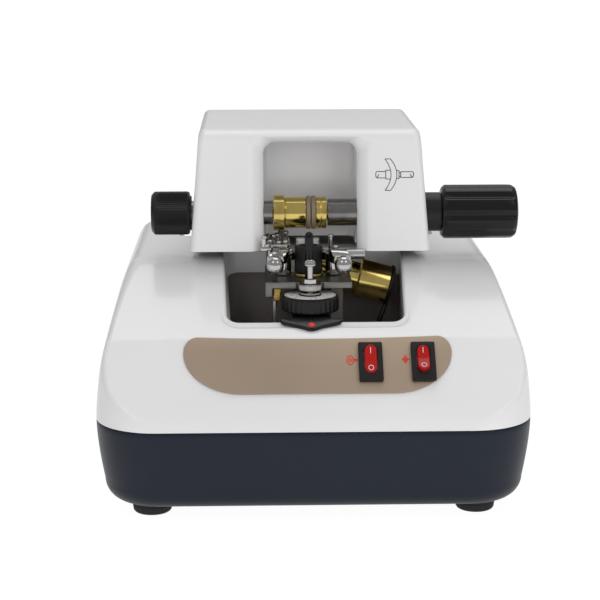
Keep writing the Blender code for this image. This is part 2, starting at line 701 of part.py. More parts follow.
def shell_solid(inward):
    """The top shell's outer form, or the space inside it where inward is the wall."""
    stops = console_stops()
    loops = []
    for inset_share, rise_share in side_roll_shares:
        inset = SIDE_ROLL_WIDTH * inset_share + inward
        wall = SEAM_HEIGHT + SIDE_ROLL_RISE * rise_share
        loop = []
        for x, y in base_loop(inset, stops):
            blend = min(CREST_BLEND, (wall - SEAM_HEIGHT) * seam_blend_share)
            height = smooth_min(console_height(y), wall, blend) if rise_share else SEAM_HEIGHT
            drop = inward if rise_share else 0
            loop.append((x, y, max(height - drop, SEAM_HEIGHT)))
        loops.append(loop)
    if inward:
        floor = SEAM_HEIGHT - OVERRUN
        loops.insert(0, [(x, y, floor) for x, y, _ in loops[0]])
    bm = bmesh.new()
    rings = [[bm.verts.new(point) for point in loop] for loop in loops]
    bm.faces.new(rings[0][::-1])
    for low, high in zip(rings, rings[1:]):
        for i in range(len(low)):
            j = (i + 1) % len(low)
            bm.faces.new((low[i], low[j], high[j], high[i]))
    top = rings[-1]
    for i in range(len(top) // 2 - 1):
        bm.faces.new((top[i], top[i + 1], top[-2 - i], top[-1 - i]))
    return bm


# Base pieces

def make_feet():
    for name, side_x, side_y in (
        ("foot_front_left", -1, -1), ("foot_front_right", 1, -1),
        ("foot_rear_left", -1, 1), ("foot_rear_right", 1, 1),
    ):
        profile = rod_profile(FOOT_RADIUS, 0, FOOT_HEIGHT - FIT_GAP, FOOT_ROUND)
        make(name, "rubber", turned(profile, SMALL_STEPS), at(side_x * FOOT_X, side_y * FOOT_Y, 0))


def pan_section(wall):
    """(inset, height) of the pan's side from its floor up to the seam."""
    low = FOOT_HEIGHT + wall
    rim = SEAM_HEIGHT - FIT_GAP
    radius = PAN_ROUND - wall
    points = []
    for i in range(PAN_ROUND_STEPS + 1):
        angle = math.pi / 2 * i / PAN_ROUND_STEPS
        inset = PAN_FLARE + PAN_ROUND - radius * math.sin(angle)
        points.append((inset, low + radius * (1 - math.cos(angle))))
    start = FOOT_HEIGHT + PAN_ROUND
    for i in range(1, PAN_SIDE_STEPS + 1):
        share = i / PAN_SIDE_STEPS
        inset = wall + PAN_FLARE * (1 - share) ** PAN_FLARE_POWER
        points.append((inset, start + (rim - start) * share))
    return points


def make_base_pan():
    loops = []
    for inset, height in pan_section(0) + pan_section(PAN_WALL)[::-1]:
        loops.append([(x, y, height) for x, y in base_loop(inset)])
    pan = make("base_pan", "navy", loft(loops))
    cut(pan, inlet_hole())


def inlet_hole():
    half_x = INLET_WIDTH / 2 + FIT_GAP
    half_z = INLET_HEIGHT / 2 + FIT_GAP
    low = (INLET_X - half_x, BASE_HALF_DEPTH - INLET_DEPTH, INLET_Z - half_z)
    high = (INLET_X + half_x, BASE_HALF_DEPTH + OVERRUN, INLET_Z + half_z)
    return make("inlet_hole", None, box(low, high))


def well_loop(outward, heights):
    """The well's plan, moved out by outward, with heights a function of y."""
    front = WELL_FRONT_Y - outward
    back = WELL_BACK_Y + outward
    radius = WELL_CORNER + outward
    front_x = WELL_FRONT_HALF + outward - radius
    back_x = WELL_BACK_HALF + outward - radius
    outline = (
        arc(WELL_X + front_x, front + radius, radius, -90, 0, CORNER_STEPS)
        + arc(WELL_X + back_x, back - radius, radius, 0, 90, CORNER_STEPS)
        + arc(WELL_X - back_x, back - radius, radius, 90, 180, CORNER_STEPS)
        + arc(WELL_X - front_x, front + radius, radius, 180, 270, CORNER_STEPS)
    )
    return [(x, y, heights(y)) for x, y in outline]


def skirt_height(y):
    share = (y - WELL_FRONT_Y) / (WELL_BACK_Y - WELL_FRONT_Y)
    return SKIRT_FRONT_HEIGHT + (SKIRT_BACK_HEIGHT - SKIRT_FRONT_HEIGHT) * share


def above_deck(_):
    return DECK_HEIGHT + OVERRUN


def notch_box(name, outward):
    """The hinge notch, or with outward the lining that keeps a wall round it."""
    half = NOTCH_HALF + outward
    low = (-half, NOTCH_FRONT_Y - outward, NOTCH_FLOOR - outward)
    high = (half, BASE_HALF_DEPTH + OVERRUN, DECK_HEIGHT + OVERRUN)
    return make(name, None, box(low, high))


def make_top_shell():
    shell = make("top_shell", "white", shell_solid(0))
    space = make("shell_space", None, shell_solid(SHELL_WALL))
    skirt = make("well_lining", None, loft([
        well_loop(SKIRT_WALL, skirt_height), well_loop(SKIRT_WALL, above_deck),
    ]))
    well = make("well_hole", None, loft([
        well_loop(0, lambda y: skirt_height(y) - OVERRUN), well_loop(0, above_deck),
    ]))
    cut(space, skirt, notch_box("notch_lining", SHELL_WALL))
    cut(shell, space, well, notch_box("notch_hole", 0), *switch_holes())


def make_drip_tray():
    rim = lambda y: skirt_height(y) - FIT_GAP
    tray = loft([
        well_loop(SKIRT_WALL, lambda y: TRAY_BOTTOM),
        well_loop(SKIRT_WALL, rim),
        well_loop(0, rim),
        well_loop(0, lambda y: TRAY_BOTTOM + TRAY_FLOOR),
    ])
    make("drip_tray", "tray", tray)


# Panel plate and switches, built flat and laid on the slope

def on_panel(x, up_slope=0):
    """The matrix of a point on the panel: local X to the right, Y up the slope."""
    middle_y = PANEL_FOOT_Y + PANEL_RUN / 2 + up_slope * math.cos(PANEL_SLOPE)
    middle_z = PANEL_FOOT_Z + PANEL_RISE / 2 + up_slope * math.sin(PANEL_SLOPE)
    return Matrix.Translation((x, middle_y, middle_z)) @ Matrix.Rotation(PANEL_SLOPE, 4, "X")


def make_panel_plate():
    half_length = math.hypot(PANEL_RUN, PANEL_RISE) / 2 - PANEL_MARGIN
    shoulder_x = PANEL_HALF_WIDTH - PANEL_SHOULDER
    widest = half_length - PANEL_SHOULDER_DROP
    outline = []
    for i in range(CORNER_STEPS):
        share = i / CORNER_STEPS
        bow = PANEL_BOW * (1 - share * share)
        outline.append((shoulder_x * share, half_length - bow))
    for i in range(CORNER_STEPS + 1):
        angle = math.pi / 2 * i / CORNER_STEPS
        outline.append((
            shoulder_x + PANEL_SHOULDER * math.sin(angle),
            widest + PANEL_SHOULDER_DROP * math.cos(angle),
        ))
    for i in range(1, 2 * CORNER_STEPS + 1):
        angle = math.pi / 4 * i / CORNER_STEPS
        outline.append((
            PANEL_HALF_WIDTH - PANEL_SWEEP * (1 - math.cos(angle)),
            widest - (half_length + widest) * math.sin(angle),
        ))
    outline += [(-x, y) for x, y in reversed(outline[1:])]
    plate = make(
        "panel_plate", "bronze", prism(outline, FIT_GAP, FIT_GAP + PANEL_THICK), on_panel(PLATE_X)
    )
    cut(plate, *switch_holes())


def switch_holes():
    if "switch_hole_0" in bpy.data.objects:
        return [bpy.data.objects[f"switch_hole_{i}"] for i in range(len(SWITCH_X))]
    holes = []
    half_x = SWITCH_BODY_WIDTH / 2 + FIT_GAP
    half_y = SWITCH_BODY_LENGTH / 2 + FIT_GAP
    for i, x in enumerate(SWITCH_X):
        hole = box((-half_x, -half_y, -SWITCH_BODY_DEPTH), (half_x, half_y, OVERRUN))
        holes.append(make(f"switch_hole_{i}", None, hole, on_panel(x, SWITCH_UP_SLOPE)))
    return holes


def stadium(width, length, steps=CORNER_STEPS):
    """A plan outline with round ends at +Y and -Y."""
    radius = width / 2
    end = length / 2 - radius
    return arc(0, end, radius, 0, 180, 2 * steps) + arc(0, -end, radius, 180, 360, 2 * steps)


def make_switch(name, x, tilt_sign):
    base = on_panel(x, SWITCH_UP_SLOPE)
    face = 2 * FIT_GAP + PANEL_THICK + SWITCH_BEZEL
    under = 2 * FIT_GAP + PANEL_THICK
    bezel = box(
        (-SWITCH_WIDTH / 2, -SWITCH_LENGTH / 2, under), (SWITCH_WIDTH / 2, SWITCH_LENGTH / 2, face)
    )
    body = box(
        (-SWITCH_BODY_WIDTH / 2, -SWITCH_BODY_LENGTH / 2, -SWITCH_BODY_DEPTH),
        (SWITCH_BODY_WIDTH / 2, SWITCH_BODY_LENGTH / 2, under + SWITCH_BEZEL / 2),
    )
    pocket = prism(
        stadium(ROCKER_WIDTH + 2 * ROCKER_POCKET_GAP, ROCKER_LENGTH + 2 * ROCKER_POCKET_GAP),
        face - ROCKER_POCKET_DEPTH, face + OVERRUN,
    )
    switch = make(f"switch_body_{name}", "black", bezel, base)
    join(switch, make(f"switch_block_{name}", None, body, base))
    cut(switch, make(f"switch_pocket_{name}", None, pocket, base))

    pivot_height = face - ROCKER_SIDE / 2
    half = ROCKER_LENGTH / 2 + OVERRUN
    crest = ROCKER_SIDE / 2
    outline = [(-half, crest + ROCKER_RISE), (0, crest), (half, crest + ROCKER_RISE)]
    for i in range(ROCKER_STEPS + 1):
        share = 1 - 2 * i / ROCKER_STEPS
        outline.append((half * share, crest - ROCKER_BELLY * (1 - share * share / 2)))
    turned_to = base @ Matrix.Translation((0, 0, pivot_height)) @ Matrix.Rotation(
        tilt_sign * ROCKER_TILT, 4, "X")
    rocker = make(
        f"rocker_{name}", "red", side_prism(outline, -ROCKER_WIDTH, ROCKER_WIDTH), turned_to
    )
    plan = prism(stadium(ROCKER_WIDTH, ROCKER_LENGTH), -SWITCH_BODY_DEPTH, SWITCH_BODY_DEPTH)
    combine(rocker, "INTERSECT", [make(f"rocker_plan_{name}", None, plan, turned_to)])


# Mains inlet and transformer

def make_mains_inlet():
    face_y = BASE_HALF_DEPTH + INLET_PROUD
    half_x, half_z = INLET_WIDTH / 2, INLET_HEIGHT / 2
    body = box(
        (INLET_X - half_x, face_y - INLET_DEPTH, INLET_Z - half_z),
        (INLET_X + half_x, face_y, INLET_Z + half_z),
    )
    inlet = make("mains_inlet", "black", body)
    mouth_x, mouth_z = INLET_MOUTH_WIDTH / 2, INLET_MOUTH_HEIGHT / 2
    mouth = box(
        (INLET_X - mouth_x, face_y - INLET_MOUTH_DEPTH, INLET_Z - mouth_z),
        (INLET_X + mouth_x, face_y + OVERRUN, INLET_Z + mouth_z),
    )
    cut(inlet, make("inlet_mouth", None, mouth))
    root = face_y - INLET_MOUTH_DEPTH - INLET_FLANGE
    for i, (across, up) in enumerate(((-1, -0.5), (1, -0.5), (0, 0.5))):
        x = INLET_X + across * BLADE_PITCH
        z = INLET_Z + up * BLADE_RISE
        blade = box(
            (x - BLADE_WIDTH / 2, root, z - BLADE_HEIGHT / 2),
            (x + BLADE_WIDTH / 2, face_y - INLET_MOUTH_DEPTH + BLADE_LENGTH, z + BLADE_HEIGHT / 2),
        )
        join(inlet, make(f"inlet_blade_{i}", None, blade))


def make_transformer():
    floor = TRANSFORMER_FLOOR
    core = box(
        (TRANSFORMER_X - CORE_WIDTH / 2, TRANSFORMER_Y - CORE_DEPTH / 2, floor),
        (TRANSFORMER_X + CORE_WIDTH / 2, TRANSFORMER_Y + CORE_DEPTH / 2, floor + CORE_HEIGHT),
    )
    low = floor + (CORE_HEIGHT - BOBBIN_HEIGHT) / 2
    bobbin = box(
        (TRANSFORMER_X - BOBBIN_WIDTH / 2, TRANSFORMER_Y - BOBBIN_DEPTH / 2, low),
        (TRANSFORMER_X + BOBBIN_WIDTH / 2, TRANSFORMER_Y + BOBBIN_DEPTH / 2, low + BOBBIN_HEIGHT),
    )
    transformer = make("transformer", "copper", core)
    join(transformer, make("bobbin", None, bobbin))


# Guide mechanism over the well

def make_guide_plate():
    top = GUIDE_TOP
    outline = (
        (GUIDE_LEFT_X, GUIDE_FRONT_Y), (GUIDE_RIGHT_X, GUIDE_FRONT_Y),
        (GUIDE_RIGHT_X, GUIDE_STEP_Y), (GUIDE_STRIP_X, GUIDE_STEP_Y),
        (GUIDE_STRIP_X, GUIDE_BACK_Y), (GUIDE_LEFT_X, GUIDE_BACK_Y),
    )
    plate = make("guide_plate", "steel", prism(outline, GUIDE_BOTTOM, top))
    tab = box(
        (GUIDE_LEFT_X, GUIDE_FRONT_Y, GUIDE_BOTTOM - GUIDE_TAB_DEPTH),
        (GUIDE_LEFT_X + GUIDE_TAB_WIDTH, GUIDE_FRONT_Y + GUIDE_TAB_BACK, GUIDE_BOTTOM + GUIDE_THICK / 2),
    )
    join(plate, make("guide_tab", None, tab))
    low, high = GUIDE_BOTTOM - OVERRUN, top + OVERRUN
    cut(
        plate,
        rod("collar_notch", None, STUD_COLLAR_RADIUS + FIT_GAP, low, high, at(DIAL_X, DIAL_Y, 0)),
        rod("stem_hole", None, TOWER_STEM_RADIUS + FIT_GAP, low, high,
            at(MECHANISM_X, TOWER_Y, 0), SMALL_STEPS),
    )


def make_support():
    floor = TRAY_BOTTOM + TRAY_FLOOR + FIT_GAP
    outline = (
        (SUPPORT_X, SUPPORT_TOP), (SUPPORT_X, floor), (SUPPORT_X + SUPPORT_FOOT, floor),
        (SUPPORT_X + SUPPORT_FOOT, floor + SUPPORT_THICK),
        (SUPPORT_X + SUPPORT_THICK, floor + SUPPORT_THICK), (SUPPORT_X + SUPPORT_THICK, SUPPORT_TOP),
    )
    loops = [[(x, y, z) for x, z in outline] for y in (SUPPORT_FRONT_Y, SUPPORT_BACK_Y)]
    make("support_bracket", "aluminium", loft(loops))
    left = GUIDE_LEFT_X + GUIDE_TAB_WIDTH + FIT_GAP
    block = box(
        (left, BLOCK_FRONT_Y, SUPPORT_TOP + FIT_GAP),
        (left + BLOCK_WIDTH, BLOCK_BACK_Y, GUIDE_BOTTOM - FIT_GAP),
    )
    make("brass_block", "brass", block)


def index_slope(y):
    return console_height(y) + FIT_GAP / math.cos(CONSOLE_SLOPE)


def make_index_plate():
    """A pointed leaf on the console's lip, with a tongue that runs back under the dial."""
    length = INDEX_REAR_Y - INDEX_TIP_Y
    right = [
        (INDEX_HALF * across, INDEX_TIP_Y + length * back) for across, back in index_edge_shares
    ]
    outline = right + [(-x, y) for x, y in reversed(right[:-1])]
    outline = [(x + DIAL_X, y) for x, y in outline]
    rise = INDEX_THICK / math.cos(CONSOLE_SLOPE)
    leaf = loft([
        [(x, y, index_slope(y)) for x, y in outline],
        [(x, y, index_slope(y) + rise) for x, y in outline],
    ])
    plate = make("index_plate", "black", leaf)
    top = DIAL_BOTTOM - FIT_GAP
    tongue = box(
        (DIAL_X - INDEX_TONGUE_HALF, INDEX_REAR_Y - OVERRUN, top - INDEX_TONGUE_THICK),
        (DIAL_X + INDEX_TONGUE_HALF, INDEX_TONGUE_BACK_Y, top),
    )
    join(plate, make("index_tongue", None, tongue))


def make_dial():
    place = at(DIAL_X, DIAL_Y, 0)
    bore = DIAL_SCREW_RADIUS + FIT_GAP
    rim = DIAL_RADIUS - DIAL_CHAMFER
    dial = [
        (bore, DIAL_BOTTOM), (rim, DIAL_BOTTOM), (DIAL_RADIUS, DIAL_BOTTOM + DIAL_CHAMFER),
        (DIAL_RADIUS, DIAL_TOP - DIAL_CHAMFER), (rim, DIAL_TOP), (DIAL_RING_OUTER, DIAL_TOP),
        (DIAL_RING_OUTER, DIAL_TOP - DIAL_RING_SINK), (DIAL_RING_INNER, DIAL_TOP - DIAL_RING_SINK),
        (DIAL_RING_INNER, DIAL_TOP), (bore, DIAL_TOP),
    ]
    make("depth_dial", "black", turned(dial), place)
    neck = DIAL_SCREW_TOP - SCREW_HEAD_HEIGHT
    screw = [
        (0, DIAL_BOTTOM + FIT_GAP), (DIAL_SCREW_RADIUS, DIAL_BOTTOM + FIT_GAP),
        (DIAL_SCREW_RADIUS, neck), (SCREW_HEAD_RADIUS, neck),
        (SCREW_HEAD_RADIUS, neck + SCREW_HEAD_HEIGHT * 0.45),
        (SCREW_HEAD_RADIUS * 0.8, neck + SCREW_HEAD_HEIGHT * 0.85), (0, DIAL_SCREW_TOP),
    ]
    make("dial_screw", "chrome", turned(screw, SMALL_STEPS), place)
    nut = turned(ring_profile(bore, DIAL_NUT_RADIUS, DIAL_NUT_BOTTOM, DIAL_NUT_BOTTOM + DIAL_NUT_HEIGHT), 6)
    make("dial_nut", "chrome", nut, place)
    collar = ring_profile(bore, STUD_COLLAR_RADIUS, STUD_COLLAR_BOTTOM, STUD_COLLAR_TOP)
    make("stud_collar", "steel", turned(collar), place)


def make_depth_stop():
    place = at(MECHANISM_X, TOWER_Y, 0)
    lift_low = DIAL_TOP + FIT_GAP
    lift_high = lift_low + LIFT_ARM_THICK
    ring_low = GUIDE_TOP + FIT_GAP
    ring_high = ring_low + DEPTH_RING_HEIGHT
    tower_low = ring_high + FIT_GAP
    tower = [
        (0, lift_high + FIT_GAP), (TOWER_STEM_RADIUS, lift_high + FIT_GAP),
        (TOWER_STEM_RADIUS, tower_low), (TOWER_RADIUS, tower_low),
        (TOWER_RADIUS, TOWER_TOP - TOWER_CHAMFER), (TOWER_RADIUS - TOWER_CHAMFER, TOWER_TOP),
        (0, TOWER_TOP),
    ]
    make("depth_tower", "black", turned(tower), place)
    ring = ring_profile(TOWER_STEM_RADIUS + FIT_GAP, DEPTH_RING_RADIUS, ring_low, ring_high)
    make("depth_ring", "brass", turned(ring), place)

    bore = DIAL_SCREW_RADIUS + FIT_GAP
    arm = make("lift_arm", "steel", turned(
        ring_profile(bore, LIFT_HUB_RADIUS, lift_low, lift_high), SMALL_STEPS), at(DIAL_X, DIAL_Y, 0))
    strip = box(
        (DIAL_X - LIFT_ARM_WIDTH / 2, DIAL_Y + bore + FIT_GAP, lift_low),
        (DIAL_X + LIFT_ARM_WIDTH / 2, TOWER_Y + TOWER_STEM_RADIUS, lift_high),
    )
    join(arm, make("lift_strip", None, strip))

    low = GUIDE_TOP + FIT_GAP
    shoulder = PIN_TOP - PIN_RADIUS
    pin = [(0, low), (PIN_RADIUS, low), (PIN_RADIUS, shoulder)]
    for share in (0.4, 0.75):
        angle = math.pi / 2 * share
        pin.append((PIN_RADIUS * math.cos(angle), shoulder + PIN_RADIUS * math.sin(angle)))
    pin.append((0, PIN_TOP))
    make("stop_pin", "black", turned(pin, SMALL_STEPS), at(MECHANISM_X, PIN_Y, 0))


def arm_mesh(sign):
    """A flat bar from the handle to the roller, narrower at the roller."""
    ball = sign * BALL_OFFSET
    pivot = sign * ARM_PIVOT_OFFSET
    tip = sign * ROLLER_OFFSET
    stations = (
        (ball, ARM_FRONT_Y, ARM_WIDTH), (pivot, ARM_PIVOT_Y, ARM_WIDTH),
        ((pivot + tip) / 2, (ARM_PIVOT_Y + ARM_REAR_Y) / 2, (ARM_WIDTH + ARM_TIP_WIDTH) / 2),
        (tip + sign * ARM_TIP_WIDTH / 4, ARM_REAR_Y + ROLLER_RADIUS, ARM_TIP_WIDTH / 2 + ROLLER_RADIUS / 2),
    )
    loops = []
    for x, y, width in stations:
        left, right = x - width / 2, x + width / 2
        low, high = ARM_BOTTOM, ARM_BOTTOM + ARM_THICK
        loops.append([(left, y, low), (right, y, low), (right, y, high), (left, y, high)])
    return loft(loops)


def make_guide_arms():
    plate_top = GUIDE_TOP + FIT_GAP
    arm_top = ARM_BOTTOM + ARM_THICK
    for side, sign in ARM_SIDES:
        pivot_x = MECHANISM_X + sign * ARM_PIVOT_OFFSET
        pivot = at(pivot_x, ARM_PIVOT_Y, 0)
        roller_x = MECHANISM_X + sign * ROLLER_OFFSET
        roller = at(roller_x, ROLLER_Y, 0)

        arm = make(f"guide_arm_{side}", "chrome", arm_mesh(sign), at(MECHANISM_X, 0, 0))
        arm_origin_to(arm, pivot_x, ARM_PIVOT_Y)
        join(arm, rod(f"arm_hub_{side}", None, ARM_HUB_RADIUS, plate_top, arm_top - FIT_GAP, pivot, SMALL_STEPS))
        cut(
            arm,
            rod(f"arm_bore_{side}", None, PIVOT_RADIUS + FIT_GAP, plate_top - OVERRUN,
                arm_top + OVERRUN, pivot, SMALL_STEPS),
            rod(f"roller_bore_{side}", None, PIVOT_RADIUS, ARM_BOTTOM - OVERRUN,
                arm_top + OVERRUN, roller, SMALL_STEPS),
        )

        head_low = arm_top + FIT_GAP
        screw = [
            (0, plate_top), (PIVOT_RADIUS, plate_top), (PIVOT_RADIUS, head_low),
            (PIVOT_HEAD_RADIUS, head_low), (PIVOT_HEAD_RADIUS, head_low + PIVOT_HEAD_HEIGHT * 0.4),
            (PIVOT_HEAD_RADIUS * 0.75, head_low + PIVOT_HEAD_HEIGHT * 0.85),
            (0, head_low + PIVOT_HEAD_HEIGHT),
        ]
        make(f"arm_pivot_{side}", "chrome", turned(screw, SMALL_STEPS), pivot)

        axle = PIVOT_RADIUS - FIT_GAP
        roller_profile = [
            (0, ARM_BOTTOM), (axle, ARM_BOTTOM), (axle, head_low), (ROLLER_RADIUS, head_low),
            (ROLLER_RADIUS, head_low + ROLLER_HEIGHT), (0, head_low + ROLLER_HEIGHT),
        ]
        make(f"guide_roller_{side}", "nylon", turned(roller_profile, SMALL_STEPS), roller)

        handle = [(0, BALL_BOTTOM), (BALL_RADIUS, BALL_BOTTOM), (BALL_RADIUS, BALL_Z)]
        for i in range(1, CORNER_STEPS + 1):
            angle = math.pi / 2 * i / CORNER_STEPS
            handle.append((BALL_RADIUS * math.cos(angle), BALL_Z + BALL_RADIUS * math.sin(angle)))
        handle[-1] = (0, BALL_Z + BALL_RADIUS)
        make(f"ball_handle_{side}", "chrome", turned(handle), at(MECHANISM_X + sign * BALL_OFFSET, BALL_Y, 0))


def arm_origin_to(obj, x, y):
    """Moves an object's origin to (x, y) and leaves its mesh where it is."""
    shift = Vector((x - obj.location.x, y - obj.location.y, 0))
    obj.data.transform(Matrix.Translation(-shift))
    obj.matrix_world = Matrix.Translation((x, y, 0))


def make_selector_and_rod():
    low = SELECTOR_BOTTOM
    plate = make("selector_plate", "chrome", box(
        (GUIDE_LEFT_X, SELECTOR_FRONT_Y, low),
        (SELECTOR_RIGHT_X, SELECTOR_BACK_Y, low + SELECTOR_THICK),
    ))
    foot = GUIDE_TOP + FIT_GAP
    join(plate, rod("selector_post", None, SELECTOR_POST_RADIUS, foot, low + SELECTOR_THICK / 2,
                    at(SELECTOR_POST_X, SELECTOR_POST_Y, 0), SMALL_STEPS))
    rod("stop_rod", "aluminium", ROD_RADIUS, ROD_INNER_X, ROD_OUTER_X, x_line(ROD_Y, ROD_Z), SMALL_STEPS)


# Grooving spindle: local heights run along the tilted axis from the wheel

def spindle_line():
    direction = (math.cos(SPINDLE_TILT), 0, -math.sin(SPINDLE_TILT))
    return at(WHEEL_X, CHUCK_Y, WHEEL_Z, direction)


def make_spindle():
    line = spindle_line()
    half = WHEEL_THICK / 2
    wheel = ring_profile(SPINDLE_RADIUS + FIT_GAP, WHEEL_RADIUS, -half, half)
    make("grooving_wheel", "steel", turned(wheel), line)
    shaft = [
        (0, -half - FIT_GAP - WHEEL_NUT_REACH), (WHEEL_HUB_RADIUS, -half - FIT_GAP - WHEEL_NUT_REACH),
        (WHEEL_HUB_RADIUS, -half - FIT_GAP), (SPINDLE_RADIUS, -half - FIT_GAP),
        (SPINDLE_RADIUS, half + FIT_GAP), (WHEEL_HUB_RADIUS, half + FIT_GAP),
        (WHEEL_HUB_RADIUS, SPINDLE_NOSE), (SPINDLE_RADIUS, SPINDLE_NOSE),
        (SPINDLE_RADIUS, HOUSING_END - HOUSING_WALL), (0, HOUSING_END - HOUSING_WALL),
    ]
    make("spindle_shaft", "steel", turned(shaft, SMALL_STEPS), line)
    bore = SPINDLE_RADIUS + FIT_GAP
    housing = [
        (bore, SPINDLE_NOSE + FIT_GAP), (SPINDLE_NOSE_RADIUS, SPINDLE_NOSE + FIT_GAP),
        (SPINDLE_NOSE_RADIUS, NECK_START), (NECK_RADIUS, NECK_START), (NECK_RADIUS, HOUSING_START),
        (HOUSING_RADIUS, HOUSING_START), (HOUSING_RADIUS, HOUSING_END), (bore, HOUSING_END),
    ]
    make("spindle_housing", "brass", turned(housing), line)
    low = HOUSING_END + FIT_GAP
    cap = rod_profile(END_CAP_RADIUS, low, low + END_CAP_THICK, END_CAP_CHAMFER)
    make("spindle_end_cap", "rubber", turned(cap), line)

    floor = TRAY_BOTTOM + TRAY_FLOOR + FIT_GAP
    cradle = make("spindle_cradle", "aluminium", box(
        (CRADLE_X, CHUCK_Y - CRADLE_HALF, floor), (CRADLE_X + CRADLE_THICK, CHUCK_Y + CRADLE_HALF, CRADLE_TOP),
    ))
    cut(cradle, rod("cradle_seat", None, NECK_RADIUS + FIT_GAP, 0, HOUSING_START, line))


# Head shell

def head_half_width(z, inward):
    share = (z - HEAD_BOTTOM) / (HEAD_TOP - HEAD_BOTTOM)
    return HEAD_HALF_LOW + (HEAD_HALF_HIGH - HEAD_HALF_LOW) * share - inward


HEAD_LEAN = math.atan2(HEAD_FRONT_HIGH_Y - HEAD_FRONT_LOW_Y, HEAD_TOP - HEAD_BOTTOM)


def face_y(z):
    """Y of the head's leaning front at a height."""
    return HEAD_FRONT_LOW_Y + (z - HEAD_BOTTOM) * math.tan(HEAD_LEAN)


def head_outline(inward, bottom):
    """(y, z) round the head's side, from the front bottom up and over to the hinge drum."""
    top = HEAD_TOP - inward
    rear = HEAD_REAR_Y - inward
    round_top = HEAD_TOP_ROUND - inward / 2
    round_rear = HEAD_REAR_ROUND - inward
    front_centre = face_y(top - round_top) + inward + round_top / math.cos(HEAD_LEAN)
    lean = math.degrees(HEAD_LEAN)
    return (
        [(face_y(bottom) + inward, bottom)]
        + arc(front_centre, top - round_top, round_top, 180 - lean, 90, CORNER_STEPS)
        + arc(rear - round_rear, top - round_rear, round_rear, 90, 0, CORNER_STEPS + 2)
        + arc(HINGE_Y, HINGE_Z, DRUM_RADIUS - inward, 0, -DRUM_ARC, 2 * CORNER_STEPS)
        + [(HEAD_UNDER_Y + inward, bottom)]
    )


def head_solid(inward, bottom):
    """Side outlines across the head. They shrink towards each side to round its edges."""
    edge = HEAD_EDGE_ROUND - inward
    sections = []
    for i in range(EDGE_STEPS + 1):
        angle = math.pi / 2 * i / EDGE_STEPS
        shrink = inward + edge * (1 - math.sin(angle))
        narrow = inward + edge * (1 - math.cos(angle))
        sections.append((shrink, narrow))
    loops = []
    for side, order in ((-1, sections), (1, sections[::-1])):
        for shrink, narrow in order:
            outline = head_outline(shrink, bottom)
            loops.append([(side * head_half_width(z, narrow), y, z) for y, z in outline])
    return loft(loops)


def window_loop(outward, left, right, top, place_y):
    """The window's outline, open below, with round upper corners."""
    left, right, top = left - outward, right + outward, top + outward
    low = HEAD_BOTTOM - 2 * OVERRUN
    radius = WINDOW_CORNER + outward
    outline = [(left, low), (right, low)]
    outline += arc(right - radius, top - radius, radius, 0, 90, CORNER_STEPS)
    outline += arc(left + radius, top - radius, radius, 90, 180, CORNER_STEPS)
    return [(x, place_y(z), z) for x, z in outline]


def window_solid(outward):
    rim = (WINDOW_RIM_LEFT, WINDOW_RIM_RIGHT, WINDOW_RIM_TOP)
    inner = (WINDOW_LEFT, WINDOW_RIGHT, WINDOW_TOP)
    reach = OVERRUN + outward
    return loft([
        window_loop(outward, *rim, lambda z: face_y(z) - reach),
        window_loop(outward, *rim, lambda z: face_y(z) + FIT_GAP + outward / 2),
        window_loop(outward, *inner, lambda z: face_y(z) + WINDOW_FLARE + outward / 2),
        window_loop(outward, *inner, lambda z: WINDOW_BACK_Y + outward),
    ])


def make_head_shell():
    shell = make("head_shell", "white", head_solid(0, HEAD_BOTTOM))
    space = make("head_space", None, head_solid(HEAD_WALL, HEAD_BOTTOM - OVERRUN))
    lining = make("window_lining", None, window_solid(WINDOW_WALL))
    window = make("window_hole", None, window_solid(0))
    cut(space, lining)
    chuck = x_line(CHUCK_Y, CHUCK_Z)
    reach = HEAD_HALF_LOW + OVERRUN
    shaft_bore = SPIN_SHAFT_RADIUS + FIT_GAP
    slot_radius = SLEEVE_RADIUS + 2 * FIT_GAP
    slot_side = WINDOW_WALL + OVERRUN
    slot_low = HEAD_BOTTOM - OVERRUN
    slot = [(CHUCK_Y - slot_radius, slot_low), (CHUCK_Y + slot_radius, slot_low)]
    slot += arc(CHUCK_Y, CHUCK_Z, slot_radius, 0, 180, 2 * CORNER_STEPS)
    slot = side_prism(slot, WINDOW_LEFT - slot_side, WINDOW_RIGHT + slot_side)
    pin_bore = HINGE_PIN_RADIUS + FIT_GAP
    cut(
        shell, space, window,
        rod("left_shaft_hole", None, shaft_bore, -reach, WINDOW_LEFT, chuck),
        rod("right_collar_hole", None, COLLAR_RADIUS + FIT_GAP, COLLAR_INNER_X - OVERRUN, reach, chuck),
        make("chuck_slot", None, slot),
        rod("head_pin_hole", None, pin_bore, -reach - OVERRUN, reach + OVERRUN,
            x_line(HINGE_Y, HINGE_Z), SMALL_STEPS),
    )


# Head frame and hinge

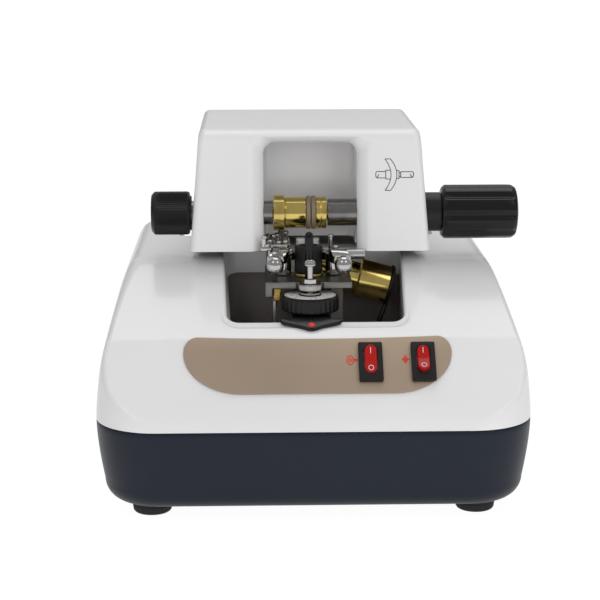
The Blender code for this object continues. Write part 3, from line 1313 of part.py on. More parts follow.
def make_head_frame():
    top = FRAME_BOTTOM + FRAME_THICK
    left = WINDOW_LEFT - WINDOW_WALL - FRAME_WINDOW_GAP
    right = WINDOW_RIGHT + WINDOW_WALL + FRAME_WINDOW_GAP
    back = WINDOW_BACK_Y + WINDOW_WALL + FRAME_WINDOW_GAP
    outline = (
        (-FRAME_HALF_WIDTH, FRAME_FRONT_Y), (left - FRAME_WINDOW_GAP * 3, FRAME_FRONT_Y), (left, FRAME_FRONT_Y + 3 * FRAME_WINDOW_GAP),
        (left, back), (right, back), (right, FRAME_FRONT_Y + 3 * FRAME_WINDOW_GAP), (right + FRAME_WINDOW_GAP * 3, FRAME_FRONT_Y),
        (FRAME_HALF_WIDTH, FRAME_FRONT_Y), (FRAME_HALF_WIDTH, FRAME_REAR_Y), (-FRAME_HALF_WIDTH, FRAME_REAR_Y),
    )
    frame = make("head_frame", "steel", prism(outline, FRAME_BOTTOM, top))
    root = FRAME_BOTTOM + FRAME_THICK / 2
    for i, x in enumerate(BEARING_WALL_X):
        wall = box(
            (x - BEARING_WALL / 2, CHUCK_Y - BEARING_WALL_FRONT, root),
            (x + BEARING_WALL / 2, CHUCK_Y + BEARING_WALL_HALF, CHUCK_Z + BEARING_WALL_RISE),
        )
        join(frame, make(f"bearing_wall_{i}", None, wall))
    motor_wall_x = PULLEY_X + BELT_WIDTH / 2 + PULLEY_FLANGE + FIT_GAP
    motor_wall = box(
        (motor_wall_x, MOTOR_Y - MOTOR_WALL_HALF, root),
        (motor_wall_x + MOTOR_WALL, MOTOR_Y + MOTOR_WALL_HALF, MOTOR_Z + MOTOR_RADIUS / 2),
    )
    join(frame, make("motor_wall", None, motor_wall))
    for side in (-1, 1):
        outline = [(LUG_FRONT_Y, top - FRAME_THICK / 2)]
        outline += arc(HINGE_Y, HINGE_Z, LUG_RADIUS, 210, 360, 2 * CORNER_STEPS)
        outline += [(HINGE_Y + LUG_RADIUS, top - FRAME_THICK / 2)]
        x = side * LUG_X
        lug = make(f"hinge_lug_{side}", None, side_prism(outline, x - LUG_WALL / 2, x + LUG_WALL / 2))
        join(frame, lug)
    chuck = x_line(CHUCK_Y, CHUCK_Z)
    reach = FRAME_HALF_WIDTH + OVERRUN
    cut(
        frame,
        rod("spin_bore", None, SPIN_SHAFT_RADIUS + FIT_GAP, -reach, WINDOW_LEFT, chuck),
        rod("sleeve_bore", None, SLEEVE_RADIUS + FIT_GAP, WINDOW_RIGHT, reach, chuck),
        rod("motor_bore", None, MOTOR_BOSS_RADIUS + FIT_GAP, PULLEY_X, WINDOW_LEFT,
            x_line(MOTOR_Y, MOTOR_Z), SMALL_STEPS),
        rod("lug_bore", None, HINGE_PIN_RADIUS + FIT_GAP, -reach, reach,
            x_line(HINGE_Y, HINGE_Z), SMALL_STEPS),
    )


def make_hinge():
    line = x_line(HINGE_Y, HINGE_Z)
    rod("hinge_pin", "steel", HINGE_PIN_RADIUS, -HINGE_PIN_HALF, HINGE_PIN_HALF, line, SMALL_STEPS)
    bore = rod("bracket_bore", None, HINGE_PIN_RADIUS + FIT_GAP, -NOTCH_HALF, NOTCH_HALF, line, SMALL_STEPS)
    for side, sign in ARM_SIDES:
        inner, outer = sorted((sign * BRACKET_X, sign * (BRACKET_X + BRACKET_WALL)))
        bracket = make(f"hinge_bracket_{side}", "steel", box(
            (inner, HINGE_Y - BRACKET_HALF, NOTCH_FLOOR + FIT_GAP),
            (outer, HINGE_Y + BRACKET_HALF, BRACKET_TOP),
        ))
        cut(bracket, bore)


# Lens drive on the left

def pulley(name, look, radius, bore, place):
    """A belt pulley between two flanges."""
    half = BELT_WIDTH / 2 + FIT_GAP / 2
    outer = half + PULLEY_FLANGE - FIT_GAP
    rim = radius + PULLEY_FLANGE_RISE
    profile = [
        (bore, -outer), (rim, -outer), (rim, -half), (radius, -half),
        (radius, half), (rim, half), (rim, outer), (bore, outer),
    ]
    points = [(r, PULLEY_X + x) for r, x in profile]
    return make(name, look, turned(points), place)


def make_lens_drive():
    line = x_line(CHUCK_Y, CHUCK_Z)
    nose_start = LEFT_FLANGE_X - FIT_GAP
    knob_bore_end = LEFT_KNOB_INNER_X - KNOB_BORE_DEPTH
    shaft = [
        (0, knob_bore_end + FIT_GAP), (SPIN_SHAFT_RADIUS, knob_bore_end + FIT_GAP),
        (SPIN_SHAFT_RADIUS, nose_start), (SPIN_SHAFT_NOSE_RADIUS, nose_start),
        (SPIN_SHAFT_NOSE_RADIUS, nose_start + SPIN_SHAFT_NOSE), (0, nose_start + SPIN_SHAFT_NOSE),
    ]
    make("spin_shaft", "steel", turned(shaft), line)
    bore = SPIN_SHAFT_RADIUS + FIT_GAP
    knob = [
        (0, LEFT_KNOB_OUTER_X), (LEFT_KNOB_RADIUS - KNOB_CHAMFER, LEFT_KNOB_OUTER_X),
        (LEFT_KNOB_RADIUS, LEFT_KNOB_OUTER_X + KNOB_CHAMFER), (LEFT_KNOB_RADIUS, LEFT_KNOB_INNER_X),
        (bore, LEFT_KNOB_INNER_X), (bore, knob_bore_end), (0, knob_bore_end),
    ]
    make("left_knob", "black", turned(knob), line)
    flange_end = LEFT_FLANGE_X + LEFT_FLANGE_THICK
    nose_bore = SPIN_SHAFT_NOSE_RADIUS + FIT_GAP
    bore_end = nose_start + SPIN_SHAFT_NOSE + FIT_GAP
    chuck = [
        (nose_bore, LEFT_FLANGE_X), (LEFT_FLANGE_RADIUS - CHUCK_CHAMFER, LEFT_FLANGE_X),
        (LEFT_FLANGE_RADIUS, LEFT_FLANGE_X + CHUCK_CHAMFER), (LEFT_FLANGE_RADIUS, flange_end - CHUCK_CHAMFER),
        (LEFT_FLANGE_RADIUS - CHUCK_CHAMFER, flange_end), (LEFT_CHUCK_RADIUS, flange_end),
        (LEFT_CHUCK_RADIUS, LEFT_CHUCK_END_X), (0, LEFT_CHUCK_END_X), (0, bore_end), (nose_bore, bore_end),
    ]
    make("left_chuck", "brass", closed_turn(chuck), line)
    pad = LEFT_CHUCK_END_X + FIT_GAP
    rod("left_pad", "pad", PAD_RADIUS, pad, pad + PAD_THICK, line)
    pulley("spin_pulley", "aluminium", SPIN_PULLEY_RADIUS, bore, line)

    motor_line = x_line(MOTOR_Y, MOTOR_Z)
    wall = PULLEY_X + BELT_WIDTH / 2 + PULLEY_FLANGE + FIT_GAP
    face = wall + MOTOR_WALL + FIT_GAP
    shaft_bore = MOTOR_SHAFT_RADIUS + FIT_GAP
    boss = face - MOTOR_BOSS
    motor = [
        (shaft_bore, boss), (MOTOR_BOSS_RADIUS, boss), (MOTOR_BOSS_RADIUS, face),
        (MOTOR_RADIUS, face), (MOTOR_RADIUS, face + MOTOR_LENGTH), (0, face + MOTOR_LENGTH),
        (0, face + MOTOR_SHAFT_DEPTH), (shaft_bore, face + MOTOR_SHAFT_DEPTH),
    ]
    make("lens_motor", "steel", closed_turn(motor), motor_line)
    half = BELT_WIDTH / 2 + FIT_GAP / 2
    outer = half + PULLEY_FLANGE - FIT_GAP
    rim = MOTOR_PULLEY_RADIUS + PULLEY_FLANGE_RISE
    motor_pulley = [
        (0, -outer), (rim, -outer), (rim, -half), (MOTOR_PULLEY_RADIUS, -half),
        (MOTOR_PULLEY_RADIUS, half), (rim, half), (rim, outer), (MOTOR_SHAFT_RADIUS, outer),
    ]
    points = [(r, PULLEY_X + x) for r, x in motor_pulley]
    shaft_end = face + MOTOR_SHAFT_DEPTH - FIT_GAP
    points += [(MOTOR_SHAFT_RADIUS, shaft_end), (0, shaft_end)]
    make("motor_pulley", "aluminium", turned(points), motor_line)
    make_belt()


def closed_turn(profile):
    """A turned piece whose section meets the axis between its last and first points."""
    start = next(i for i, point in enumerate(profile) if point[0] == 0)
    turn = profile[start + 1:] + profile[:start + 1]
    return turned(turn)


def make_belt():
    """Two half rounds on the pulleys joined by the straight runs between them."""
    run_y, run_z = MOTOR_Y - CHUCK_Y, MOTOR_Z - CHUCK_Z
    span = math.hypot(run_y, run_z)
    heading = math.degrees(math.atan2(run_z, run_y))
    wrap = math.degrees(math.acos((SPIN_PULLEY_RADIUS - MOTOR_PULLEY_RADIUS) / span))
    loops = []
    low, high = PULLEY_X - BELT_WIDTH / 2, PULLEY_X + BELT_WIDTH / 2
    for outward in (FIT_GAP, FIT_GAP + BELT_THICK):
        outline = arc(CHUCK_Y, CHUCK_Z, SPIN_PULLEY_RADIUS + outward, heading + wrap,
                      heading + 360 - wrap, 3 * CORNER_STEPS)
        outline += arc(MOTOR_Y, MOTOR_Z, MOTOR_PULLEY_RADIUS + outward, heading - wrap,
                       heading + wrap, 2 * CORNER_STEPS)
        loops.append(outline)
    inner, outer = loops
    sections = []
    for x, outline in ((low, inner), (low, outer), (high, outer), (high, inner)):
        sections.append([(x, y, z) for y, z in outline])
    make("drive_belt", "rubber", loft(sections, closed=True))


# Clamping side on the right

def make_clamp():
    line = x_line(CHUCK_Y, CHUCK_Z)
    pad_low = LEFT_CHUCK_END_X + FIT_GAP + PAD_THICK + LENS_GAP
    pad_high = pad_low + PAD_THICK
    rod("right_pad", "pad", PAD_RADIUS, pad_low, pad_high, line)
    chuck_low = pad_high + FIT_GAP
    chuck = [
        (0, chuck_low), (RIGHT_CHUCK_RADIUS - CHUCK_CHAMFER, chuck_low),
        (RIGHT_CHUCK_RADIUS, chuck_low + CHUCK_CHAMFER),
        (RIGHT_CHUCK_RADIUS, RIGHT_CHUCK_END_X - CHUCK_CHAMFER),
        (RIGHT_CHUCK_RADIUS - CHUCK_CHAMFER, RIGHT_CHUCK_END_X),
        (RIGHT_STEM_RADIUS, RIGHT_CHUCK_END_X), (RIGHT_STEM_RADIUS, RIGHT_CHUCK_END_X + RIGHT_STEM),
        (0, RIGHT_CHUCK_END_X + RIGHT_STEM),
    ]
    make("right_chuck", "brass", turned(chuck), line)

    end = SLEEVE_X + SLEEVE_LENGTH
    web = SLEEVE_X + SLEEVE_STEM_BORE
    sleeve = make("clamp_sleeve", "steel", turned(rod_profile(SLEEVE_RADIUS, SLEEVE_X, end)), line)
    cut(
        sleeve,
        rod("stem_bore", None, RIGHT_STEM_RADIUS + FIT_GAP, SLEEVE_X - OVERRUN, web, line, SMALL_STEPS),
        rod("screw_bore", None, CLAMP_SCREW_RADIUS + FIT_GAP, web + SLEEVE_WEB, end + OVERRUN, line, SMALL_STEPS),
    )
    shoulder = COLLAR_INNER_X + FIT_GAP
    knob_low = COLLAR_OUTER_X + FIT_GAP
    knob_end = knob_low + RIGHT_KNOB_LENGTH
    bore_end = knob_low + KNOB_BORE_DEPTH
    screw = [
        (0, CLAMP_SCREW_X), (CLAMP_SCREW_RADIUS, CLAMP_SCREW_X), (CLAMP_SCREW_RADIUS, shoulder),
        (CLAMP_SHOULDER_RADIUS, shoulder), (CLAMP_SHOULDER_RADIUS, bore_end - FIT_GAP),
        (0, bore_end - FIT_GAP),
    ]
    make("clamp_screw", "steel", turned(screw, SMALL_STEPS), line)
    bore = CLAMP_SHOULDER_RADIUS + FIT_GAP
    collar = ring_profile(bore, COLLAR_RADIUS, COLLAR_INNER_X, COLLAR_OUTER_X)
    make("knob_collar", "black", turned(collar), line)
    make("clamp_knob", "black", fluted_knob(knob_low, knob_end, bore, bore_end), line)


def fluted_knob(low, high, bore, bore_end):
    """Rings from the bore's end out and over. Their radius dips in each flute."""
    count = FLUTES * FLUTE_STEPS
    sections = (
        (bore, bore_end, 0), (bore, low, 0),
        (RIGHT_KNOB_RADIUS - KNOB_CHAMFER, low, 0), (RIGHT_KNOB_RADIUS, low + KNOB_CHAMFER, 1),
        (RIGHT_KNOB_RADIUS, high - 2 * KNOB_CHAMFER, 1),
        (RIGHT_KNOB_RADIUS - KNOB_CHAMFER, high - RIGHT_KNOB_CAP, 0),
        (RIGHT_KNOB_CAP_RADIUS, high - RIGHT_KNOB_CAP, 0), (RIGHT_KNOB_CAP_RADIUS - KNOB_CHAMFER, high, 0),
    )
    loops = []
    for radius, height, flute_share in sections:
        loop = []
        for i in range(count):
            turn = 2 * math.pi * i / count
            dip = max(math.cos(FLUTES * turn), 0) * FLUTE_DEPTH * flute_share
            r = radius - dip
            loop.append((r * math.cos(turn), r * math.sin(turn), height))
        loops.append(loop)
    return loft(loops)


def build():
    clear_scene()
    make_feet()
    make_base_pan()
    make_top_shell()
    make_drip_tray()
    make_panel_plate()
    make_switch("left", SWITCH_X[0], 1)
    make_switch("right", SWITCH_X[1], -1)
    make_mains_inlet()
    make_transformer()
    make_guide_plate()
    make_support()
    make_index_plate()
    make_dial()
    make_depth_stop()
    make_guide_arms()
    make_selector_and_rod()
    make_spindle()
    make_head_shell()
    make_head_frame()
    make_hinge()
    make_lens_drive()
    make_clamp()


build()
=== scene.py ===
# %% [markdown]
# # A lens groover in Blender
# The machine holds a spectacle lens between two chucks in its tilting head and turns it
# slowly over a thin grooving wheel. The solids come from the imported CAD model. This lesson
# makes the fine surfaces that show: moulded covers, turned knobs, bright screws and the dial.

import math

import bmesh
import bpy
import numpy as np
from mathutils import Matrix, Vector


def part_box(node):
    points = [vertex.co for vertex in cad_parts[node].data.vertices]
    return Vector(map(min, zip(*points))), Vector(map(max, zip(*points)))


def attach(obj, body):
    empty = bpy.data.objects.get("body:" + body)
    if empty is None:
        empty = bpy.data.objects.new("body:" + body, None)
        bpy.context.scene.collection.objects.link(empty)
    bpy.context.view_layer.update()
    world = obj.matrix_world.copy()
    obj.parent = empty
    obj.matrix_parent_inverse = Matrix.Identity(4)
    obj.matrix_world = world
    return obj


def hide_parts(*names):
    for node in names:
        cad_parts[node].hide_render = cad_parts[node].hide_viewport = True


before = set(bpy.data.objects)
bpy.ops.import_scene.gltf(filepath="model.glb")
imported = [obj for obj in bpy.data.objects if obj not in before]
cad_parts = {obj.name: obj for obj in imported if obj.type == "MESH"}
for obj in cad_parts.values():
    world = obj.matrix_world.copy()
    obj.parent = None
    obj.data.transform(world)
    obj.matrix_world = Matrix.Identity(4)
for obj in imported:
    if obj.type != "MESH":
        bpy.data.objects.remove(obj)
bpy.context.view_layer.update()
MM = 0.001
LEVEL = np.array([0, 0, 2.6])
TURN = 2 * np.pi
scene = bpy.context.scene

# %% [markdown]
# ## Points to surfaces
# Nearly every piece is a grid of points worked out at once by numpy: rows run along the
# piece and columns run round it. Quads join neighbours, and the first and last rows can be
# closed by one flat face. Modelling by hand would give the same shapes, but a formula keeps
# every radius exact and can be changed by one number. All shapes are written in millimetres,
# and heights count from a level 2.6 mm under the table, where the first drawing had its foot.


# %% Grid to object
def grid_faces(rows, columns, wrap_rows, wrap_columns):
    """Quads of a grid: point (r, c) joins (r, c+1), (r+1, c+1) and (r+1, c)."""
    r = np.arange(rows if wrap_rows else rows - 1)
    c = np.arange(columns if wrap_columns else columns - 1)
    r, c = np.meshgrid(r, c, indexing="ij")
    r2, c2 = (r + 1) % rows, (c + 1) % columns
    corners = (r * columns + c, r * columns + c2, r2 * columns + c2, r2 * columns + c)
    return np.stack(corners, -1).reshape(-1, 4).tolist()


def add_object(name, data):
    """An object for a mesh, lamp, camera or text, in the scene."""
    obj = bpy.data.objects.new(name, data)
    scene.collection.objects.link(obj)
    return obj


def mend(mesh, near, outward=True, slits=False):
    """Merges points nearer than near metres, fills the slits of a cut, turns faces outwards."""
    bm = bmesh.new()
    bm.from_mesh(mesh)
    bmesh.ops.remove_doubles(bm, verts=bm.verts, dist=near)
    if slits:
        bmesh.ops.dissolve_degenerate(bm, edges=bm.edges, dist=2e-6)
        bmesh.ops.holes_fill(bm, edges=[e for e in bm.edges if e.is_boundary], sides=0)
    if outward:
        bmesh.ops.recalc_face_normals(bm, faces=bm.faces)
    bm.to_mesh(mesh)
    bm.free()


def shade(mesh, sharp):
    """Smooth shading, but creased where faces meet at more than sharp degrees."""
    mesh.shade_smooth()
    mesh.set_sharp_from_angle(angle=math.radians(sharp))


def to_object(name, points, faces, closed=True, sharp=40):
    """Mesh object from points in millimetres, less LEVEL. Doubled points are merged."""
    mesh = bpy.data.meshes.new(name)
    mesh.from_pydata(((np.asarray(points).reshape(-1, 3) - LEVEL) * MM).tolist(), [], faces)
    mend(mesh, 2e-6, outward=closed)
    shade(mesh, sharp)
    return add_object(name, mesh)


def skin(name, points, wrap_rows=False, wrap_columns=True, caps=True, sharp=40):
    """Object over a (rows, columns, 3) grid. Caps close its first and last rows."""
    rows, columns = points.shape[:2]
    faces = grid_faces(rows, columns, wrap_rows, wrap_columns)
    closed = caps or wrap_rows
    if caps and not wrap_rows:
        faces.append(list(range(columns))[::-1])
        faces.append(list(range((rows - 1) * columns, rows * columns)))
    return to_object(name, points, faces, closed, sharp)


def finish_piece(obj, look, body, node=None):
    """Gives a piece its finish in its material's slot and its body, and hides the solid it stands
    for.
    """
    obj.data.materials.clear()
    obj.data.materials.append(look)
    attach(obj, body)
    if node:
        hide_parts(node)
    return obj


# %% Bake modifiers, cut and merge
def bake(obj):
    """Replaces an object's mesh by what its modifiers make of it."""
    depsgraph = bpy.context.evaluated_depsgraph_get()
    mesh = bpy.data.meshes.new_from_object(obj.evaluated_get(depsgraph))
    obj.modifiers.clear()
    obj.data = mesh
    return obj


def carve(obj, *cutters, operation="DIFFERENCE", sharp=35):
    """Cuts solids out of a piece and removes the cutters."""
    for cutter in cutters:
        step = obj.modifiers.new("cut", "BOOLEAN")
        step.operation = operation
        step.solver = "EXACT"
        step.object = cutter
    bake(obj)
    for cutter in cutters:
        bpy.data.objects.remove(cutter)
    shade(obj.data, sharp)
    return obj


def flat_shading(obj):
    """Lets large flat faces keep their own normals beside small rounds."""
    step = obj.modifiers.new("even", "WEIGHTED_NORMAL")
    step.keep_sharp = True
    step.weight = 80
    return bake(obj)


def merged(name, objects):
    """One object from several, in place."""
    first = objects[0]
    if len(objects) > 1:
        with bpy.context.temp_override(
            active_object=first, object=first, selected_objects=objects,
            selected_editable_objects=objects,
        ):
            bpy.ops.object.join()
    first.name = name
    return first


# %% [markdown]
# ## Outlines and profiles
# Moulded and machined edges are never sharp, so every outline is drawn with few corner
# points and then rounded. A corner becomes a short parabola between the two points that lie
# one radius before and after it.


# %% Rounded and even lines
def rounded(points, radius, steps=6, closed=False):
    """Corner p becomes (1-t)^2 a + 2 t (1-t) p + t^2 b, with a and b a radius away."""
    p = np.asarray(points, float)
    before = np.roll(p, 1, 0) - p
    after = np.roll(p, -1, 0) - p
    long_before = np.linalg.norm(before, axis=1, keepdims=True)
    long_after = np.linalg.norm(after, axis=1, keepdims=True)
    radius = np.broadcast_to(np.asarray(radius, float).reshape(-1, 1), (len(p), 1))
    a = p + before * np.minimum(radius / np.maximum(long_before, 1e-9), 0.49)
    b = p + after * np.minimum(radius / np.maximum(long_after, 1e-9), 0.49)
    t = np.linspace(0, 1, steps + 1)[None, :, None]
    curves = (1 - t) ** 2 * a[:, None] + 2 * t * (1 - t) * p[:, None] + t**2 * b[:, None]
    if closed:
        return curves.reshape(-1, p.shape[1])
    inner = curves[1:-1].reshape(-1, p.shape[1])
    return np.vstack([p[:1], inner, p[-1:]])


def smooth_line(points, count):
    """Catmull-Rom curve through points, as count points."""
    p = np.asarray(points, float)
    p = np.vstack([2 * p[0] - p[1], p, 2 * p[-1] - p[-2]])
    s = np.linspace(0, len(p) - 3 - 1e-9, count)
    i = s.astype(int)
    t = (s - i)[:, None]
    p0, p1, p2, p3 = p[i], p[i + 1], p[i + 2], p[i + 3]
    return 0.5 * (2 * p1 + (p2 - p0) * t + (2 * p0 - 5 * p1 + 4 * p2 - p3) * t**2
                  + (3 * p1 - p0 - 3 * p2 + p3) * t**3)


def spaced(outline, step):
    """The same closed outline with extra points, so that none lie further apart than step."""
    p = np.vstack([outline, outline[:1]])
    gaps = np.maximum(np.ceil(np.linalg.norm(np.diff(p, axis=0), axis=1) / step), 1).astype(int)
    start = np.repeat(np.arange(len(gaps)), gaps)
    share = np.arange(gaps.sum()) - np.repeat(np.cumsum(gaps) - gaps, gaps)
    share = (share / gaps[start])[:, None]
    return p[start] * (1 - share) + p[start + 1] * share


def grown(outline, amount):
    """Closed outline moved outwards along its normals by amount. It runs anticlockwise."""
    p = np.asarray(outline, float)
    ahead = np.roll(p, -1, 0) - p
    normal = np.stack([ahead[:, 1], -ahead[:, 0]], 1)
    normal /= np.maximum(np.linalg.norm(normal, axis=1, keepdims=True), 1e-9)
    back = np.roll(normal, 1, 0)
    both = normal + back
    both /= np.maximum((both * normal).sum(1, keepdims=True), 0.35)
    return p + both * amount


# %% [markdown]
# ## Turned, plate and swept pieces
# A lathe makes the chucks, knobs, pins, rings and screw heads, so they are profiles carried
# round an axis. Plates are outlines drawn up through their thickness, with the first and last
# rows drawn in to round the edge. Leads and rods are a circle carried along a path.


# %% Lathe, plate and tube
def frame_of(direction):
    """Three unit vectors: along the axis, and two across it."""
    along = np.asarray(direction, float) / np.linalg.norm(direction)
    helper = np.array([0.0, 0, 1]) if abs(along[2]) < 0.9 else np.array([0.0, 1, 0])
    across = np.cross(helper, along)
    across /= np.linalg.norm(across)
    return along, across, np.cross(along, across)


def turned(name, centre, direction, profile, turns=72, edge=0.25, wave=None, closed=True, sharp=40):
    """Point = centre + s*along + r*(cos a*across + sin a*up), for each (s, r) of the profile."""
    profile = rounded(profile, edge, 4, closed=not closed) if edge else np.asarray(profile, float)
    along, across, up = frame_of(direction)
    angle = np.arange(turns) * TURN / turns
    s, r = profile[:, :1], profile[:, 1:2]
    r = r + (wave(s, r, angle[None, :]) if wave else 0 * angle[None, :])
    s = s + 0 * r
    ring = np.cos(angle)[None, :, None] * across + np.sin(angle)[None, :, None] * up
    points = np.asarray(centre, float) + s[..., None] * along + r[..., None] * ring
    return skin(name, points, wrap_rows=not closed, caps=closed, sharp=sharp)


def in_place(points, origin, x_axis=(1, 0, 0), y_axis=(0, 1, 0), z_axis=(0, 0, 1)):
    """Local (x, y, z) points set out from an origin along three axes."""
    p = np.asarray(points, float)
    axes = np.array([x_axis, y_axis, z_axis], float)
    return np.asarray(origin, float) + p @ axes


def plate(name, outline, low, high, edge=0.4, place=None, step=3):
    """Outline drawn up from low to high. Its edge rows shrink by edge*(1-cos) to round it."""
    outline = spaced(outline, step)
    quarter = np.linspace(0, np.pi / 2, 5)
    insets = edge * (1 - np.sin(quarter))
    rises = edge * (1 - np.cos(quarter))
    heights = np.concatenate([low + rises, high - rises[::-1]])
    insets = np.concatenate([insets, insets[::-1]])
    rows = [np.column_stack([grown(outline, -i), np.full(len(outline), h)])
            for i, h in zip(insets, heights)]
    points = np.stack(rows)
    return skin(name, place(points) if place else points)


def block(name, low, high, edge=0.4, place=None):
    """Plate over a rectangle, from corner to corner."""
    (x0, y0, z0), (x1, y1, z1) = low, high
    corners = rounded([(x0, y0), (x1, y0), (x1, y1), (x0, y1)], edge * 1.8, 4, closed=True)
    return plate(name, corners, z0, z1, edge, place)


def tube(name, path, radius, sides=12):
    """A circle carried along a path, square to it at each point."""
    p = np.asarray(path, float)
    ahead = np.gradient(p, axis=0)
    ahead /= np.linalg.norm(ahead, axis=1, keepdims=True)
    helper = np.array([0.31, 0.22, 0.93])
    across = np.cross(ahead, helper)
    across /= np.linalg.norm(across, axis=1, keepdims=True)
    up = np.cross(ahead, across)
    angle = (np.arange(sides) * TURN / sides)[None, :, None]
    ring = np.cos(angle) * across[:, None] + np.sin(angle) * up[:, None]
    return skin(name, p[:, None] + radius * ring)


def ribbons(name, lines, width, place, thick=0.06):
    """Thin raised strips along flat (x, y) lines: four corners carried along each line."""
    strips = []
    for number, line in enumerate(lines):
        p = np.asarray(line, float)
        ahead = np.gradient(p, axis=0)
        ahead /= np.maximum(np.linalg.norm(ahead, axis=1, keepdims=True), 1e-9)
        side = np.stack([-ahead[:, 1], ahead[:, 0]], 1) * width / 2
        low, high = np.full(len(p), -thick), np.full(len(p), thick)
        corners = [(p + side, low), (p - side, low), (p - side, high), (p + side, high)]
        points = np.stack([np.column_stack(c) for c in corners], 1)
        strips.append(skin(f"{name}_{number}", place(points)))
    return merged(name, strips)


def ellipse(cx, cy, rx, ry, start=0, end=360, count=40):
    """(x, y) points of an ellipse between two angles in degrees."""
    a = np.radians(np.linspace(start, end, count))
    return np.column_stack([cx + rx * np.cos(a), cy + ry * np.sin(a)])


print("helpers ready")

# %% [markdown]
# ## Shader arithmetic
# A finish is mostly arithmetic on noise: a little colour drift, fine grain in the bump and
# roughness that varies with handling. Wrapping a socket in a class with operators lets that
# arithmetic read as a formula. One method makes every other node.


# %% Expressions on sockets
class Value:
    """A shader output with operators. Each operation adds one Math node."""

    def __init__(self, look, socket):
        self.look, self.socket = look, socket

    def maths(self, operation, *inputs):
        """Adds the Math node of an operation on numbers or sockets."""
        return self.look.node("ShaderNodeMath", {"operation": operation}, dict(enumerate(inputs)))

    def __add__(self, other):
        return self.maths("ADD", self, other)

    def __sub__(self, other):
        return self.maths("SUBTRACT", self, other)

    def __rsub__(self, other):
        return self.maths("SUBTRACT", other, self)

    def __mul__(self, other):
        return self.maths("MULTIPLY", self, other)

    __radd__, __rmul__ = __add__, __mul__

    def step(self, low, high):
        """0 below low, 1 above high, eased between."""
        settings = {"interpolation_type": "SMOOTHSTEP"}
        return self.look.node("ShaderNodeMapRange", settings,
                              {"Value": self, "From Min": low, "From Max": high})


class Look:
    """A material under construction."""

    def __init__(self, name):
        self.material = bpy.data.materials.new(name)
        self.material.use_nodes = True
        self.tree = self.material.node_tree
        self.shader = self.tree.nodes["Principled BSDF"]

    def node(self, kind, settings, inputs, output=0):
        """Adds a node: settings first, then values or links on its sockets."""
        made = self.tree.nodes.new(kind)
        for key, value in settings.items():
            setattr(made, key, value)
        for key, value in inputs.items():
            self.feed(made.inputs[key], value)
        return Value(self, made.outputs[output])

    def feed(self, socket, value):
        """Links a socket to a Value, or sets it to a number, colour or vector."""
        if isinstance(value, Value):
            self.tree.links.new(value.socket, socket)
        else:
            socket.default_value = value

    def place(self, scale=(1, 1, 1)):
        """Object coordinates, stretched."""
        where = self.node("ShaderNodeTexCoord", {}, {}, "Object")
        return self.node("ShaderNodeMapping", {"vector_type": "POINT"},
                         {"Vector": where, "Scale": scale})

    def noise(self, scale, detail=2, rough=0.5, where=None):
        """Soft noise from 0 to 1, with scale lumps to a metre."""
        inputs = {"Scale": scale, "Detail": detail, "Roughness": rough}
        inputs["Vector"] = where or self.place()
        return self.node("ShaderNodeTexNoise", {"noise_dimensions": "3D"}, inputs)

    def blend(self, factor, a, b):
        """Colour a where factor is 0, colour b where it is 1."""
        settings = {"data_type": "RGBA", "blend_type": "MIX"}
        return self.node("ShaderNodeMix", settings, {0: factor, 6: (*a, 1), 7: (*b, 1)}, 2)

    def bump(self, height, strength, distance):
        """Normals tilted by the slope of height, as if it stood out by distance in metres."""
        inputs = {"Height": height, "Strength": strength, "Distance": distance}
        return self.node("ShaderNodeBump", {}, inputs)

    def wear(self, **inputs):
        """Sets the shader's sockets by name, with spaces written as underscores."""
        for key, value in inputs.items():
            if key == "Base_Color" and not isinstance(value, Value):
                value = (*value, 1)
            self.feed(self.shader.inputs[key.replace("_", " ")], value)
        return self.material


# %% [markdown]
# ## Finishes
# Each finish is what its maker would call it. Moulded plastic has a fine orange peel and a
# slow drift of tone. Turned metal has rings left by the tool, which run round its axis, so
# the noise is squeezed hard along that axis. Plated parts are nearly mirror bright.


# %% Moulded plastics and rubber
def moulded(name, colour, rough=0.25, peel=0.02, grain=900, drift=0.06, coat=0.0, ior=1.5):
    """Colour drifts by a few parts in a hundred; peel is the bump of the mould's surface."""
    look = Look(name)
    slow = look.noise(9, 3)
    fine = look.noise(grain, 2)
    darker = tuple(c * (1 - drift) for c in colour)
    tone = look.blend(slow.step(0.35, 0.7), darker, colour)
    roughness = rough + (fine - 0.5) * 0.06 + (slow - 0.5) * 0.08
    look.wear(Base_Color=tone, Roughness=roughness, IOR=ior)
    if coat:
        look.wear(Coat_Weight=coat, Coat_Roughness=0.08)
    return look.wear(Normal=look.bump(fine, peel, 0.0006))


white_gloss = moulded("white moulded plastic", (0.82, 0.815, 0.82), 0.22, 0.012, 500, 0.03, 0.35)
# The same white plastic made darker and rougher: the darker colour is painted shade for the notch
# lining.
white_painted_shade = moulded("white moulding with painted shade", (0.72, 0.72, 0.725), 0.4, 0.03, 700, 0.04)
navy_satin = moulded("dark blue-grey lacquer", (0.008, 0.013, 0.025), 0.36, 0.05, 1100, 0.12,
                     ior=1.38)
black_gloss = moulded("black moulded plastic", (0.007, 0.007, 0.007), 0.2, 0.02, 900, 0.2, ior=1.38)
black_satin = moulded("black satin plastic", (0.01, 0.01, 0.011), 0.38, 0.05, 1200, 0.2, ior=1.4)
switch_black = moulded("dark switch frame", (0.01, 0.008, 0.008), 0.42, 0.05, 1500, 0.15, ior=1.4)
key_red = moulded("red switch key", (0.44, 0.009, 0.007), 0.26, 0.03, 1200, 0.15, ior=1.32)
foot_rubber = moulded("foot rubber", (0.018, 0.018, 0.019), 0.72, 0.1, 900, 0.25)
tray_plastic = moulded("dark tray plastic", (0.2, 0.175, 0.165), 0.34, 0.08, 600, 0.15)
pad_rubber = moulded("tan pad rubber", (0.26, 0.2, 0.13), 0.55, 0.1, 900, 0.2)
nylon = moulded("off-white nylon", (0.62, 0.61, 0.57), 0.4, 0.05, 900, 0.06)
scale_white = moulded("white scale ring", (0.7, 0.68, 0.67), 0.4, 0.02, 900, 0.04)
